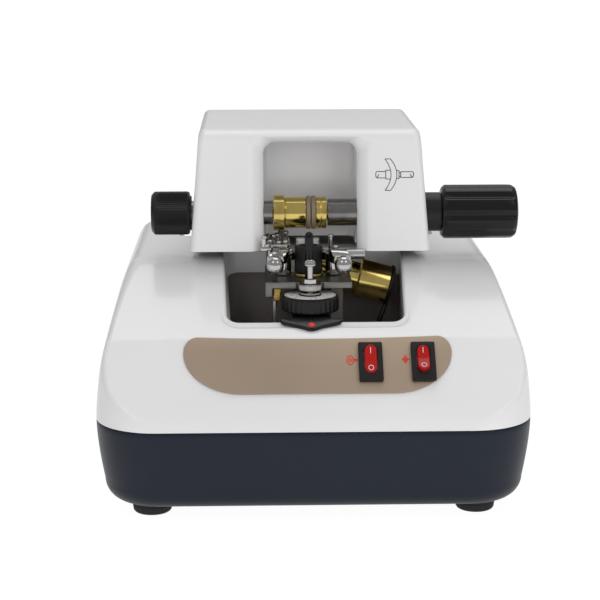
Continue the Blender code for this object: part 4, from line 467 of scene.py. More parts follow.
mark_black = moulded("black print", (0.02, 0.02, 0.02), 0.5, 0.0, 900, 0.1)
mark_white = moulded("white print", (0.8, 0.8, 0.8), 0.5, 0.0, 900, 0.02)
mark_red = moulded("red print", (0.72, 0.035, 0.015), 0.45, 0.0, 900, 0.05)


# %% Metals
def turned_metal(name, colour, rough, axis, rings=2600, cut=0.03, stain=0.25):
    """Noise squeezed along the turning axis gives tool rings; slow noise stains the colour."""
    look = Look(name)
    squeeze = [0.02, 0.02, 0.02]
    squeeze[axis] = 1.0
    ring = look.noise(rings, 2, 0.6, look.place(scale=tuple(squeeze)))
    slow = look.noise(60, 4, 0.6)
    darker = tuple(c * (1 - stain) for c in colour)
    look.wear(Base_Color=look.blend(slow.step(0.4, 0.75), colour, darker), Metallic=1.0)
    look.wear(Roughness=rough + (ring - 0.5) * 0.08 + (slow - 0.5) * 0.08)
    return look.wear(Normal=look.bump(ring, cut, 0.0002))


def plain_metal(name, colour, rough, grain=220, pit=0.04, stain=0.2):
    """Milled or plated metal: fine even grain and slow stains."""
    look = Look(name)
    fine = look.noise(grain, 5, 0.65)
    slow = look.noise(35, 4, 0.6)
    darker = tuple(c * (1 - stain) for c in colour)
    look.wear(Base_Color=look.blend(slow.step(0.4, 0.75), colour, darker), Metallic=1.0)
    look.wear(Roughness=rough + (fine - 0.5) * 0.12)
    return look.wear(Normal=look.bump(fine, pit, 0.0003))


brass_turned = turned_metal("turned brass", (0.78, 0.6, 0.19), 0.14, 0, 2600, 0.03, 0.3)
steel_turned = turned_metal("turned steel", (0.3, 0.29, 0.28), 0.24, 0, 2600, 0.05, 0.3)
rod_aluminium = turned_metal("turned aluminium", (0.62, 0.62, 0.61), 0.3, 0, 2200, 0.05, 0.15)
chrome_plate = plain_metal("chrome plating", (0.58, 0.57, 0.565), 0.07, 160, 0.01, 0.25)
steel_milled = plain_metal("milled steel", (0.25, 0.24, 0.225), 0.34, 420, 0.07, 0.3)
steel_bright = plain_metal("bright steel", (0.5, 0.49, 0.47), 0.22, 260, 0.03, 0.2)
brass_milled = plain_metal("milled brass", (0.45, 0.31, 0.09), 0.28, 300, 0.05, 0.35)
alu_milled = plain_metal("milled aluminium", (0.5, 0.5, 0.49), 0.32, 380, 0.06, 0.15)
wheel_steel = turned_metal("ground wheel steel", (0.42, 0.41, 0.4), 0.28, 0, 3000, 0.05, 0.2)


def anodised(name, colour):
    """Bronze anodising over a fine blast: tiny grain, satin sheen, faint tone drift."""
    look = Look(name)
    grain = look.noise(2400, 2, 0.7)
    slow = look.noise(12, 2)
    lighter = tuple(min(c * 1.12, 1) for c in colour)
    look.wear(Base_Color=look.blend(slow.step(0.3, 0.7), colour, lighter), Metallic=0.55)
    look.wear(Roughness=0.42 + (grain - 0.5) * 0.12)
    return look.wear(Normal=look.bump(grain, 0.12, 0.0002))


bronze_satin = anodised("bronze anodised aluminium", (0.41, 0.315, 0.235))
print("finishes", len(bpy.data.materials))

# %% [markdown]
# ## Camera, floor and light
# The photograph was taken from a little above with a long lens, almost square on. The camera
# was fitted to the feet, the seam and the chucks: it looks down by 12.2 degrees from 0.85 m,
# from a little to the left. A pale floor and large soft lamps give the even studio light.
# The camera looks along forward = (-sin yaw cos pitch, cos yaw cos pitch, -sin pitch).

# %% Camera
yaw, pitch, lean = math.radians(-1.408), math.radians(12.218), math.radians(0.1)
target = np.array([-5.69, -55.0, 94.65])
DISTANCE, FOCAL_PIXELS, FRAME_PIXELS, SENSOR = 850, 1742, 600, 36
level = np.array([-math.sin(yaw), math.cos(yaw), 0])
forward = level * math.cos(pitch) - np.array([0, 0, math.sin(pitch)])
right = np.array([math.cos(yaw), math.sin(yaw), 0])
above = np.cross(right, forward)
eye = (target - forward * DISTANCE) * MM
cam_right = right * math.cos(lean) - above * math.sin(lean)
cam_up = right * math.sin(lean) + above * math.cos(lean)
camera = add_object("camera", bpy.data.cameras.new("camera"))
camera.matrix_world = Matrix([
    (cam_right[0], cam_up[0], -forward[0], eye[0]),
    (cam_right[1], cam_up[1], -forward[1], eye[1]),
    (cam_right[2], cam_up[2], -forward[2], eye[2]),
    (0, 0, 0, 1),
])
camera.data.sensor_width = SENSOR
camera.data.lens = FOCAL_PIXELS / FRAME_PIXELS * SENSOR
camera.data.clip_start = 0.05
scene.camera = camera
scene.view_settings.view_transform = "Standard"
print("lens", round(camera.data.lens, 1), "mm")

# %% Floor, world and lamps
FLOOR_REACH = 4000
floor_corners = np.array([[(-1, -1, 0), (1, -1, 0)], [(-1, 1, 0), (1, 1, 0)]]) * FLOOR_REACH
floor = skin("floor", floor_corners + LEVEL, wrap_columns=False, caps=False)
floor_look = Look("studio floor")
paths = floor_look.tree.nodes.new("ShaderNodeLightPath")
seen = Value(floor_look, paths.outputs["Is Camera Ray"])
glossy = Value(floor_look, paths.outputs["Is Glossy Ray"])
through = Value(floor_look, paths.outputs["Is Transmission Ray"])
diffuse = Value(floor_look, paths.outputs["Is Diffuse Ray"])
floor_look.wear(Base_Color=(0.8, 0.8, 0.8), Roughness=0.9)
glow = floor_look.node("ShaderNodeEmission", {}, {"Color": (1, 1, 1, 1), "Strength": 1.12})
share = seen * 0.86 + glossy * 0.5 + through * 0.86 + diffuse * 0.55
matt = Value(floor_look, floor_look.shader.outputs[0])
mixed = floor_look.node("ShaderNodeMixShader", {}, {0: share, 1: matt, 2: glow})
floor_look.tree.links.new(mixed.socket, floor_look.tree.nodes["Material Output"].inputs["Surface"])
floor.data.materials.append(floor_look.material)

world = bpy.data.worlds.new("studio")
scene.world = world
world.use_nodes = True
sky = world.node_tree
background = sky.nodes["Background"]
background.inputs["Color"].default_value = (1, 1, 1, 1)
world_paths = sky.nodes.new("ShaderNodeLightPath")
strength = None
SKY = {"Is Diffuse Ray": 0.47, "Is Glossy Ray": 0.36, "Is Camera Ray": 1.0,
       "Is Transmission Ray": 1.0}
for name, amount in SKY.items():
    step = sky.nodes.new("ShaderNodeMath")
    step.operation = "MULTIPLY_ADD"
    sky.links.new(world_paths.outputs[name], step.inputs[0])
    step.inputs[1].default_value = amount
    step.inputs[2].default_value = 0
    if strength:
        sky.links.new(strength, step.inputs[2])
    strength = step.outputs[0]
sky.links.new(strength, background.inputs["Strength"])


def lamp(name, position, aim, size, power, tint=(1, 1, 1), mirrored=True):
    """A square area lamp at a place, turned to face its aim. Unmirrored, gloss doesn't show it."""
    data = bpy.data.lights.new(name, "AREA")
    data.size, data.energy, data.color = size, power, tint
    obj = add_object(name, data)
    obj.visible_glossy = mirrored
    back = np.asarray(position, float) - np.asarray(aim, float)
    back, across, up = frame_of(back)
    turn = np.eye(4)
    turn[:3, 0], turn[:3, 1], turn[:3, 2], turn[:3, 3] = across, up, back, position
    obj.matrix_world = Matrix(turn.tolist())


# The two low lamps light the front. Gloss doesn't mirror them, or the flat top of the head
# would glare when it is seen from behind, and the two small high ones give the highlights.
lamp("key", (-0.55, -1.35, 0.45), (0, 0, 0.08), 0.9, 2.9, mirrored=False)
lamp("fill", (0.7, -1.2, 0.45), (0, 0, 0.08), 0.8, 4.2, (0.97, 0.98, 1), mirrored=False)
lamp("left glint", (-0.6, -0.95, 1.25), (0, 0, 0.1), 0.5, 1.1)
lamp("right glint", (0.75, -0.9, 1.2), (0, 0, 0.1), 0.5, 1.1)
lamp("top", (0.1, 0.35, 1.3), (0, 0, 0.1), 0.9, 3.6)
lamp("back", (0, 1.9, 1.1), (0, 0, 0.12), 1.6, 2.7)
print("stage ready")

# %% [markdown]
# ## The top shell
# The base is a rounded box whose white top shell rises from the seam, rolls over its edge and
# falls to the front in a console with a slope for the switches. Its plan is a rectangle with
# 30 mm corners. Every point is found from two curves: how high the side rolls at a distance in
# from the outline, and how high the console is at a distance from the front. The lower of
# the two wins, with the crossing rounded over, as a soft-nosed tool would leave it.

# %% Sizes of the base
HALF_WIDTH, HALF_DEPTH, CORNER = 103.0, 118.0, 30.0
SEAM, DECK = 48.8, 112.5
ROLL_WIDTH, ROLL_RISE, CREST = 34.0, 76.0, 10.0
FRONT_DEEP, FRONT_RISE = 11.0, 14.6
PANEL_FOOT = np.array([-HALF_DEPTH + FRONT_DEEP, SEAM + FRONT_RISE])
PANEL_RUN = 22.4
PANEL_TOP = PANEL_FOOT + PANEL_RUN
CONSOLE_ANGLE = math.radians(23.5)
CONSOLE = math.tan(CONSOLE_ANGLE)
side_roll = smooth_line([
    (0, 0), (0.009, 0.09), (0.053, 0.28), (0.124, 0.455), (0.218, 0.628),
    (0.294, 0.737), (0.376, 0.825), (0.471, 0.894), (0.6, 0.95), (0.76, 0.985)], 34)
front_roll = smooth_line([
    (0, 0), (0.04, 0.16), (0.14, 0.34), (0.32, 0.52), (0.6, 0.74), (1, 1)], 60)


def smooth_min(a, b, width):
    """The lower of a and b, less near^2 * width / 4 where they come within width."""
    near = np.clip(width - np.abs(a - b), 0, None) / width
    return np.minimum(a, b) - near**2 * width / 4


def console_height(y):
    """Front roll, 45 degree panel, console slope and flat deck, as a height for each y."""
    inward = (y + HALF_DEPTH) / FRONT_DEEP
    roll = SEAM + FRONT_RISE * np.interp(inward, front_roll[:, 0], front_roll[:, 1])
    panel = PANEL_FOOT[1] + (y - PANEL_FOOT[0])
    slope = PANEL_TOP[1] + (y - PANEL_TOP[0]) * CONSOLE
    deck = smooth_min(smooth_min(panel, slope, 1.2), DECK, 6 * CONSOLE)
    return np.where(y <= PANEL_FOOT[0], roll, deck)


def rounded_box(half_x, half_y, radius, corner=16, long=70, wide=58):
    """Plan loop from the front right corner round: four arcs joined by even straight runs."""
    cx, cy = half_x - radius, half_y - radius
    arcs = []
    for x, y, start in ((cx, -cy, -90), (cx, cy, 0), (-cx, cy, 90), (-cx, -cy, 180)):
        a = np.radians(np.linspace(start, start + 90, corner))
        arcs.append(np.column_stack([x + radius * np.cos(a), y + radius * np.sin(a)]))
    runs = []
    for here, after, count in zip(arcs, arcs[1:] + arcs[:1], (long, wide, long, wide)):
        t = np.linspace(0, 1, count + 2)[1:-1, None]
        runs += [here, here[-1] * (1 - t) + after[0] * t]
    return np.vstack(runs)


def crest_blend(wall):
    """Width of the rounding between side and console: CREST, but narrow just over the seam."""
    return min(CREST, max((wall - SEAM) * 1.5, 0.01))


def base_loop(inset):
    """The base's plan, moved in by inset."""
    return rounded_box(HALF_WIDTH - inset, HALF_DEPTH - inset, CORNER - inset)


print("loop points", len(base_loop(0)))

# %% [markdown]
# The well is a second loop with the same number of points, so rows can run from the rolled
# edge of the base straight to the lip of the well, turn over it and go down its wall.

# %% The well's outline and the shell
WELL_X, WELL_FRONT, WELL_BACK = 1.5, -72.0, 0.5
WELL_FRONT_HALF, WELL_BACK_HALF, WELL_CORNER = 42.4, 45.4, 6.0


def well_loop(outward, front=0.0):
    """The well's plan moved out, and its front edge by front more. Its sides open to the back."""
    half_y = (WELL_BACK - WELL_FRONT + front) / 2 + outward
    mid_y = (WELL_BACK + WELL_FRONT - front) / 2
    loop = rounded_box(WELL_FRONT_HALF + outward, half_y, WELL_CORNER + outward)
    y = loop[:, 1] + mid_y
    share = (y - WELL_FRONT) / (WELL_BACK - WELL_FRONT)
    widen = 1 + share * (WELL_BACK_HALF / WELL_FRONT_HALF - 1)
    return np.column_stack([loop[:, 0] * widen + WELL_X, y])


SKIRT_FRONT, SKIRT_RISE = 82.0, 18.1


def skirt_height(y):
    """Lower edge of the well's wall: it climbs evenly from the front to the back."""
    return SKIRT_FRONT + SKIRT_RISE * (y - WELL_FRONT) / (WELL_BACK - WELL_FRONT)


def lifted(loop, height):
    """A flat loop set at a height, or at one height for each point."""
    return np.column_stack([loop, np.broadcast_to(height, len(loop))])


def make_shell():
    """Rows: up the side roll, in to a shallow step, a quarter turn over the lip, down the wall."""
    rows = []
    for inset, rise in side_roll:
        loop = base_loop(inset * ROLL_WIDTH)
        wall = SEAM + ROLL_RISE * rise
        height = smooth_min(console_height(loop[:, 1]), wall, crest_blend(wall))
        rows.append(lifted(loop, np.maximum(height, SEAM)))
    outer = rows[-1][:, :2]
    lip_round, step_depth = 1.9, 0.45
    lip = well_loop(2.6, 3.5)
    for t in np.linspace(0, 1, 30)[1:]:
        loop = outer * (1 - t) + lip * t
        wall = SEAM + ROLL_RISE * (0.985 + 0.015 * t)
        rows.append(lifted(loop, smooth_min(console_height(loop[:, 1]), wall, CREST)))
    turn = [(2.4, 3.3, 0.12, 0), (2.2, 3.0, 0.34, 0), (2.05, 2.6, 0.42, 0),
            (lip_round, 0.0, step_depth, 0)]
    turn += [(lip_round * (1 - math.sin(a)), 0, step_depth, lip_round * (1 - math.cos(a)))
             for a in np.linspace(0, np.pi / 2, 9)[1:]]
    for outward, front, sunk, drop in turn:
        loop = well_loop(outward, front)
        near_front = np.clip((-62 - loop[:, 1]) / 10, 0, 1)
        rows.append(lifted(loop, console_height(loop[:, 1]) - (sunk * near_front + drop)))
    last = rows[-1]
    left_wall = np.clip((-25 - last[:, 0]) / 12, 0, 1)
    for t in (0.3, 0.65, 1.0):
        loop = last.copy()
        loop[:, 0] += 2.0 * t * left_wall
        loop[:, 2] = last[:, 2] * (1 - t) + skirt_height(last[:, 1]) * t
        rows.append(loop)
    shell = skin("shell_cover", np.stack(rows), caps=False, sharp=60)
    wall = shell.modifiers.new("wall", "SOLIDIFY")
    wall.thickness, wall.offset, wall.use_even_offset = SHELL_WALL * MM, -1, False
    return bake(shell)


SHELL_WALL = 2.0
NOTCH_HALF, NOTCH_FRONT, NOTCH_FLOOR = 68.5, 40.0, 75.0
shell = make_shell()
notch = block("notch", (-NOTCH_HALF, NOTCH_FRONT, NOTCH_FLOOR), (NOTCH_HALF, 125, 130), 2.0)
carve(shell, notch, sharp=40)
finish_piece(shell, white_gloss, "base", "top_shell")
print("shell faces", len(shell.data.polygons))


# %% [markdown]
# The notch behind the head has its own lining: a floor with low walls whose corners are
# rounded. It is a profile across the machine carried from front to rear, closed at the front.
# Its white is darker than the shell's, as painted shade inside the notch.

# %% Notch lining
def make_filled(inset):
    """The shell's outer form without its well, moved in by inset and closed below."""
    rows = []
    for share, rise in side_roll:
        loop = base_loop(share * ROLL_WIDTH + inset)
        wall = SEAM + ROLL_RISE * rise
        height = smooth_min(console_height(loop[:, 1]), wall, crest_blend(wall))
        rows.append(lifted(loop, height - inset))
    crown = rows[-1][:, :2]
    for t in (0.7, 0.4, 0.1):
        loop = crown * t
        height = smooth_min(console_height(loop[:, 1]), SEAM + ROLL_RISE, CREST)
        rows.append(lifted(loop, height - inset))
    return skin("filled", np.stack(rows))


def make_notch_lining():
    """A tub round the notch, trimmed to the shell's form, with the notch cut out of it."""
    wall, gap = 1.6, 0.05
    tub = block("notch_lining", (-NOTCH_HALF - wall, NOTCH_FRONT - wall, NOTCH_FLOOR - wall),
                (NOTCH_HALF + wall, 125, 130), 2.0)
    carve(tub, make_filled(0.3), operation="INTERSECT")
    room = block("room", (-NOTCH_HALF + gap, NOTCH_FRONT + gap, NOTCH_FLOOR + gap),
                 (NOTCH_HALF - gap, 130, 135), 2.0)
    return carve(tub, room)


lining = make_notch_lining()
# The lining's darker white is painted shade inside the notch.
finish_piece(lining, white_painted_shade, "base", "top_shell")
print("lining made")

# %% [markdown]
# ## Pan, feet and tray
# The dark pan is pressed to the same plan with a round lower edge and a slight flare. The
# feet are turned rubber with a screw recess. The tray hangs under the well's skirt.


# %% Lower pan
def make_pan():
    """Rows of base loops: under, round the lower edge, up the side, and down inside."""
    low, flare, edge = 9.6, 3.5, 10
    outer = [(60, low), (30, low), (flare + edge + 0.3, low)]
    a = np.linspace(0, np.pi / 2, 14)
    outer += list(zip(flare + edge - edge * np.sin(a), low + edge - edge * np.cos(a)))
    t = np.linspace(0, 1, 12)[1:]
    outer += list(zip(flare * (1 - t) ** 1.6, low + edge + (SEAM - edge - 0.9 - low) * t))
    outer += [(0.25, SEAM - 0.45), (0.7, SEAM - 0.3)]
    inner = [(2.2, SEAM - 0.3), (2.5, SEAM - 0.6), (2.5, 40), (5.6, 24), (9, 15),
             (14, 12.1), (30, 12.1), (60, 12.1)]
    rows = [lifted(base_loop(inset) if inset < 29 else base_loop(29) * (1 - (inset - 29) / 90), z)
            for inset, z in outer + inner]
    return skin("pan", np.stack(rows), sharp=50)


pan = make_pan()
inlet_low, inlet_high = (np.array(c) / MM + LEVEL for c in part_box("mains_inlet"))
ROOM = 0.3
hole = block("hole", (inlet_low[0] - ROOM, 100, inlet_low[2] - ROOM),
             (inlet_high[0] + ROOM, 125, inlet_high[2] + ROOM))
carve(pan, hole, sharp=50)
finish_piece(pan, navy_satin, "base", "base_pan")

# %% Feet
foot_profile = [(9.3, 0), (9.3, 9.7), (7, 9.5), (6.6, 9.25), (6.2, 9.5), (3.5, 9.1), (2.6, 8.2),
                (2.6, 4.5), (4.4, 4.3), (4.4, 0)]
for node in ("foot_front_left", "foot_front_right", "foot_rear_left", "foot_rear_right"):
    low, high = (np.array(c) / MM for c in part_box(node))
    x, y = (low[0] + high[0]) / 2, (low[1] + high[1]) / 2
    foot = turned(node + "_rubber", (x, y, 0), (0, 0, 1), foot_profile, 80, 0.5)
    finish_piece(foot, foot_rubber, "base", node)


# %% Drip tray
def make_tray():
    """The well's plan under the skirt: outside up, over the rim, inside down to the floor."""
    gap, edge = 0.3, 0.4
    middle = well_loop(0) * 0.4 + [0.9, -21.4]
    outer_rim = skirt_height(well_loop(2)[:, 1]) - gap
    inner_rim = skirt_height(well_loop(0)[:, 1]) - gap
    walls = ((0.2, 65.0), (1.6, 65.4), (2.0, 67.0), (2.0, outer_rim - edge), (1.6, outer_rim),
             (edge, inner_rim), (0.0, inner_rim - edge), (0, 72.0), (-0.4, 69.2), (-1.6, 67.6),
             (-3.2, 67.05))
    rows = [lifted(middle, 65.0)]
    rows += [lifted(well_loop(outward), height) for outward, height in walls]
    rows.append(lifted(middle, 67.0))
    return skin("tray", np.stack(rows), sharp=60)


tray = make_tray()
finish_piece(tray, tray_plastic, "base", "drip_tray")
print("base made")

# %% [markdown]
# ## Panel and switches
# A bronze plate lies on the 45 degree slope, round-ended and swept in below. The two rocker
# switches have a raised frame round an oval well. Their keys are shallow valleys that tilt
# about the middle, one pressed at the top and one at the foot.


# %% Panel plate
def on_slope(x, up):
    """Places local points on the panel: x right, y up the slope, z out of it."""
    c = math.cos(math.pi / 4)
    middle = np.array([x, *(PANEL_FOOT + PANEL_RUN / 2 + up * c)])
    return lambda p: in_place(p, middle, (1, 0, 0), (0, c, c), (0, -c, c))


def panel_outline():
    """Bowed top edge, elliptical shoulders, and long elliptical sweeps below."""
    flat, bow, shoulder_x, shoulder_y, sweep_x = 56.6, 1.2, 6.4, 8.2, 27.3
    half = math.hypot(PANEL_RUN, PANEL_RUN) / 2 - 0.4
    widest = half - shoulder_y
    t = np.linspace(0, 1, 12, endpoint=False)
    top = np.column_stack([flat * t, half - bow * (1 - t**2)])
    a = np.linspace(0, np.pi / 2, 12)
    shoulder = np.column_stack([flat + shoulder_x * np.sin(a), widest + shoulder_y * np.cos(a)])
    a = np.linspace(0, np.pi / 2, 22)[1:]
    x = flat + shoulder_x - sweep_x * (1 - np.cos(a))
    sweep = np.column_stack([x, widest - (half + widest) * np.sin(a)])
    right_side = np.vstack([top, shoulder, sweep])
    left_side = right_side[1:] * [-1, 1]
    return np.vstack([right_side, left_side[::-1]])[::-1]


panel = plate("panel_face", panel_outline(), 0.3, 1.1, 0.3, on_slope(1.7, 0))
finish_piece(panel, bronze_satin, "base", "panel_plate")


# %% Switches
def stadium(width, length, steps=14):
    """Oval with round ends at the top and foot, anticlockwise."""
    r, end = width / 2, length / 2 - width / 2
    a = np.linspace(0, np.pi, steps)
    top = np.column_stack([r * np.cos(a), end + r * np.sin(a)])
    return np.vstack([top, -top])


def make_switch(side, x, tilt):
    """Frame with an oval pocket, a valley-shaped key tilted by so many degrees, and its marks."""
    place = on_slope(x, 1.4)
    low, face = 1.4, 3.4
    frame_piece = block(f"switch_frame_{side}", (-5.65, -11.4, low), (5.65, 9.5, face), 0.45, place)
    body = block("body", (-4.5, -8.4, -11), (4.5, 8.4, low + 1), 0.3, place)
    pocket = plate("pocket", stadium(6.6, 15.1), face - 4.6, face + 2, 0.05, place)
    carve(frame_piece, body, operation="UNION")
    carve(frame_piece, pocket, sharp=35)
    finish_piece(frame_piece, switch_black, "base", f"switch_body_{side}")

    pivot = face - 1.5
    turn = math.radians(tilt)

    def on_key(p):
        """Turns key points about the pivot by the tilt and places them on the panel."""
        p = np.asarray(p, float)
        y = p[..., 1] * math.cos(turn) - p[..., 2] * math.sin(turn)
        z = p[..., 1] * math.sin(turn) + p[..., 2] * math.cos(turn) + pivot
        return place(np.stack([p[..., 0], y, z], -1))

    rows = []
    width, length = 5.7, 14.2
    outline = spaced(stadium(width, length), 0.5)
    half = length / 2

    def top_of(y):
        """A valley: height grows with the distance from the middle, rounded at its foot."""
        return 1.5 + 1.5 * np.sqrt((y / half) ** 2 + 0.004) - 0.095

    edges = ((0.6, 3.1), (0.1, 2.9), (0.0, 2.4), (0.0, 0.5), (0.08, 0.2), (0.3, 0.04), (0.6, 0.0))
    for inset, drop in edges:
        loop = grown(outline, -inset)
        depth = drop * (1 if drop < 1 else (1.2 - 0.35 * (loop[:, 1] / half) ** 2))
        rows.append(lifted(loop, top_of(loop[:, 1]) - depth))
    rim = rows[-1][:, :2]
    for t in (0.75, 0.5, 0.25, 0.0):
        loop = rim * [t, 1]
        rows.append(lifted(loop, top_of(loop[:, 1])))
    key = skin(f"key_{side}", on_key(np.stack(rows)), caps=False, sharp=50)
    under = rows[0].copy()
    under[:, 0] *= 0
    belly = skin(f"belly_{side}", on_key(np.stack([under, rows[0]])), caps=False)
    key = merged(f"key_{side}", [key, belly])
    mend(key.data, 1e-5)
    finish_piece(key, key_red, f"switch_key_{side}", f"rocker_{side}")

    def on_top(p):
        """Lays flat marks on the key's valley."""
        p = np.asarray(p, float).copy()
        p[..., 2] += top_of(p[..., 1]) + 0.02
        return on_key(p)

    bar = np.column_stack([np.zeros(8), np.linspace(2.9, 5.7, 8)])
    ring = ellipse(0, -4.5, 1.15, 1.35)
    marks = ribbons(f"key_marks_{side}", [bar, ring], 0.26, on_top)
    finish_piece(marks, mark_white, f"switch_key_{side}")


make_switch("left", 26.3, 8)
make_switch("right", 51.0, -8)

# %% [markdown]
# Two small red signs beside the switches say which one is which: a wheel on its spindle,
# and a cross for the turning lens. They are thin strips laid on the plate.

# %% Signs on the panel
sign_place = on_slope(0, 0)
wheel_sign = [ellipse(16.8, 2.2, 1.5, 2.4, count=30), ellipse(16.8, 2.2, 0.5, 0.8, count=16),
              [(18.3, 2.6), (20.4, 2.6)], [(18.3, 1.8), (20.4, 1.8)]]
cross_sign = [[(40.9, 2.4), (44.9, 2.4)], [(42.7, -0.1), (42.7, 4.9)],
              ellipse(42.7, 2.4, 1.0, 1.3, count=20)]
PRINT_UP = 1.13
signs = ribbons("panel_signs", wheel_sign + cross_sign, 0.55,
                lambda p: sign_place(p + [0, 0, PRINT_UP]))
finish_piece(signs, mark_red, "base")
print("panel made")

# %% [markdown]
# ## The head cover
# The tilting head is one white moulding, open below. Seen from the side it has a leaning
# face, a flat top, a round back and a drum round the hinge. That outline is carried across
# the head and shrinks at both sides, which rounds its long edges. The window is cut from it
# by a second shape whose mouth flares.

# %% Sizes and outline of the head
HEAD_LOW, HEAD_HIGH = 117.8, 177.0
HEAD_REAR, TOP_ROUND, REAR_ROUND, DRUM, BELLY = 98.0, 9, 28, 20, 46.0
HEAD_HALF_LOW, HEAD_TAPER, HEAD_EDGE, HEAD_WALL = 59.6, 4.5, 3.5, 3.0
FACE_LOW, FACE_HIGH = -36.0, -25.5
HINGE = np.array([78.0, 97.0])
LEAN = math.atan2(FACE_HIGH - FACE_LOW, HEAD_HIGH - HEAD_LOW)


def face_y(z):
    """The leaning face: y grows evenly with height."""
    return FACE_LOW + (z - HEAD_LOW) * math.tan(LEAN)


def half_width(z):
    """Half the head's width, which narrows evenly with height."""
    return HEAD_HALF_LOW - HEAD_TAPER * (z - HEAD_LOW) / (HEAD_HIGH - HEAD_LOW)


def arc_points(cy, cz, radius, start, end, count):
    """(y, z) points of an arc: centre + radius * (cos a, sin a), angles in degrees."""
    a = np.radians(np.linspace(start, end, count))
    return np.column_stack([cy + radius * np.cos(a), cz + radius * np.sin(a)])


def head_outline(inward, bottom):
    """(y, z): leaning face, top fillet, rear round, drum about the hinge, and underside."""
    top, rear = HEAD_HIGH - inward, HEAD_REAR - inward
    r_top, r_rear = TOP_ROUND - inward / 2, REAR_ROUND - inward
    centre = face_y(top - r_top) + inward + r_top / math.cos(LEAN)
    lean = math.degrees(LEAN)
    parts = [
        np.array([[face_y(bottom) + inward, bottom]]),
        arc_points(centre, top - r_top, r_top, 180 - lean, 90, 14),
        arc_points(rear - r_rear, top - r_rear, r_rear, 90, 0, 26),
        arc_points(*HINGE, DRUM - inward, 0, -150, 36),
        np.array([[BELLY + inward, bottom]]),
    ]
    return np.vstack(parts)


def head_form(name, inward, bottom, edge_steps):
    """Side outlines across the head; an angle of 0 to 90 degrees rounds each side's edge."""
    edge = HEAD_EDGE - inward
    a = np.linspace(0, np.pi / 2, edge_steps + 1)
    shrink = inward + edge * (1 - np.sin(a))
    narrow = inward + edge * (1 - np.cos(a))
    rows = []
    for side, order in ((-1, range(len(a))), (1, range(len(a) - 1, -1, -1))):
        for i in order:
            y, z = head_outline(shrink[i], bottom).T
            rows.append(np.column_stack([side * (half_width(z) - narrow[i]), y, z]))
    return skin(name, np.stack(rows), sharp=35)


# %% [markdown]
# The window's mouth rolls in from the face, runs back along a flare and turns into straight
# walls, and its back wall meets them in a soft corner. Outline and depth follow one rounded
# line, so the roll has no crease.

# %% Window shape
WINDOW_LEFT, WINDOW_RIGHT, WINDOW_TOP, WINDOW_CORNER = -23.0, 23.4, 170.0, 5.5
FLARE_LEFT, FLARE_RIGHT, FLARE_TOP = 5.4, 5.2, 4.4


def window_outline(share, outset):
    """Inverted U between the inner opening (share 0) and the outer rim (share 1)."""
    left = WINDOW_LEFT - FLARE_LEFT * share - outset
    right = WINDOW_RIGHT + FLARE_RIGHT * share + outset
    top = WINDOW_TOP + FLARE_TOP * share + outset
    low = HEAD_LOW - 4
    corner = np.clip(WINDOW_CORNER + outset, 0.6, 12)
    a = np.radians(np.linspace(0, 90, 12))
    middle = top - corner
    right_arc = np.column_stack([right - corner + corner * np.cos(a), middle + corner * np.sin(a)])
    left_arc = np.column_stack([left + corner - corner * np.sin(a), middle + corner * np.cos(a)])
    t = np.linspace(0, 1, 16, endpoint=False)[:, None]
    rise_right = np.array([[right, low]]) * (1 - t) + right_arc[:1] * t
    fall_left = left_arc[-1:] * (1 - t) + np.array([[left, low]]) * t
    across = np.array([[left, low]]) * (1 - t[:8] * 2) + np.array([[right, low]]) * t[:8] * 2
    return np.vstack([rise_right, right_arc, left_arc, fall_left, across])


def window_form(name, outward, back):
    """Rows from before the face to the back wall; the last rows shrink to round its corner."""
    roll = [(2.1, -0.7), (1.5, -0.05), (1.15, 0.3), (0.85, 1.0), (0.4, 2.9), (0.08, 5.2),
            (0.0, 7.0), (0.0, 10.0)]
    corner = 3.5
    rows = []
    for share, depth in smooth_line(roll, 34):
        x, z = window_outline(share, outward).T
        rows.append(np.column_stack([x, face_y(z) + depth + outward / 2, z]))
    for a in np.linspace(0, np.pi / 2, 7):
        x, z = window_outline(0, outward - corner * (1 - math.cos(a))).T
        rows.append(np.column_stack([x, np.full(len(x), back - corner * (1 - math.sin(a))), z]))
    return skin(name, np.stack(rows))


# %% Head cover
cover = head_form("head_cover", 0.0, HEAD_LOW, 8)
inside = head_form("inside", HEAD_WALL, HEAD_LOW - 2, 3)
carve(inside, window_form("lining", 2.5, 11.5))
window = window_form("window", 0.0, 9.0)
CHUCK_Y, CHUCK_Z, SLOT = -20.0, 134.8, 7.4
LINE = (0, CHUCK_Y, CHUCK_Z)
X = (1, 0, 0)
slot_line = np.vstack([[(CHUCK_Y - SLOT, 110), (CHUCK_Y + SLOT, 110)],
                       arc_points(CHUCK_Y, CHUCK_Z, SLOT, 0, 180, 25)])
slot_rows = [np.column_stack([np.full(len(slot_line), x), slot_line]) for x in (-27.5, 29.5)]
slots = skin("slots", np.stack(slot_rows))


def drill(name, centre, direction, start, end, radius, turns):
    """A plain round cutter along a line from centre + start to centre + end."""
    profile = [(start, 0), (start, radius), (end, radius), (end, 0)]
    return turned(name, centre, direction, profile, turns, 0)


left_hole = drill("left_hole", LINE, X, -65, -23, 6.4, 48)
right_hole = drill("right_hole", LINE, X, 51.6, 66, 10.1, 64)
pin_hole = drill("pin_hole", (0, *HINGE), X, -66, 66, 4.3, 40)
carve(cover, inside, window, slots, left_hole, right_hole, pin_hole, sharp=32)
flat_shading(cover)
finish_piece(cover, white_gloss, "head", "head_shell")
print("head faces", len(cover.data.polygons))

# %% [markdown]
# The right cheek carries a line drawing that shows how a lens sits between the two shafts.
# It is drawn here afresh as thin black strips on the leaning face.

# %% Drawing on the cheek
tilt_c, tilt_s = math.cos(LEAN), math.sin(LEAN)
DRAWING_Z = 155.0


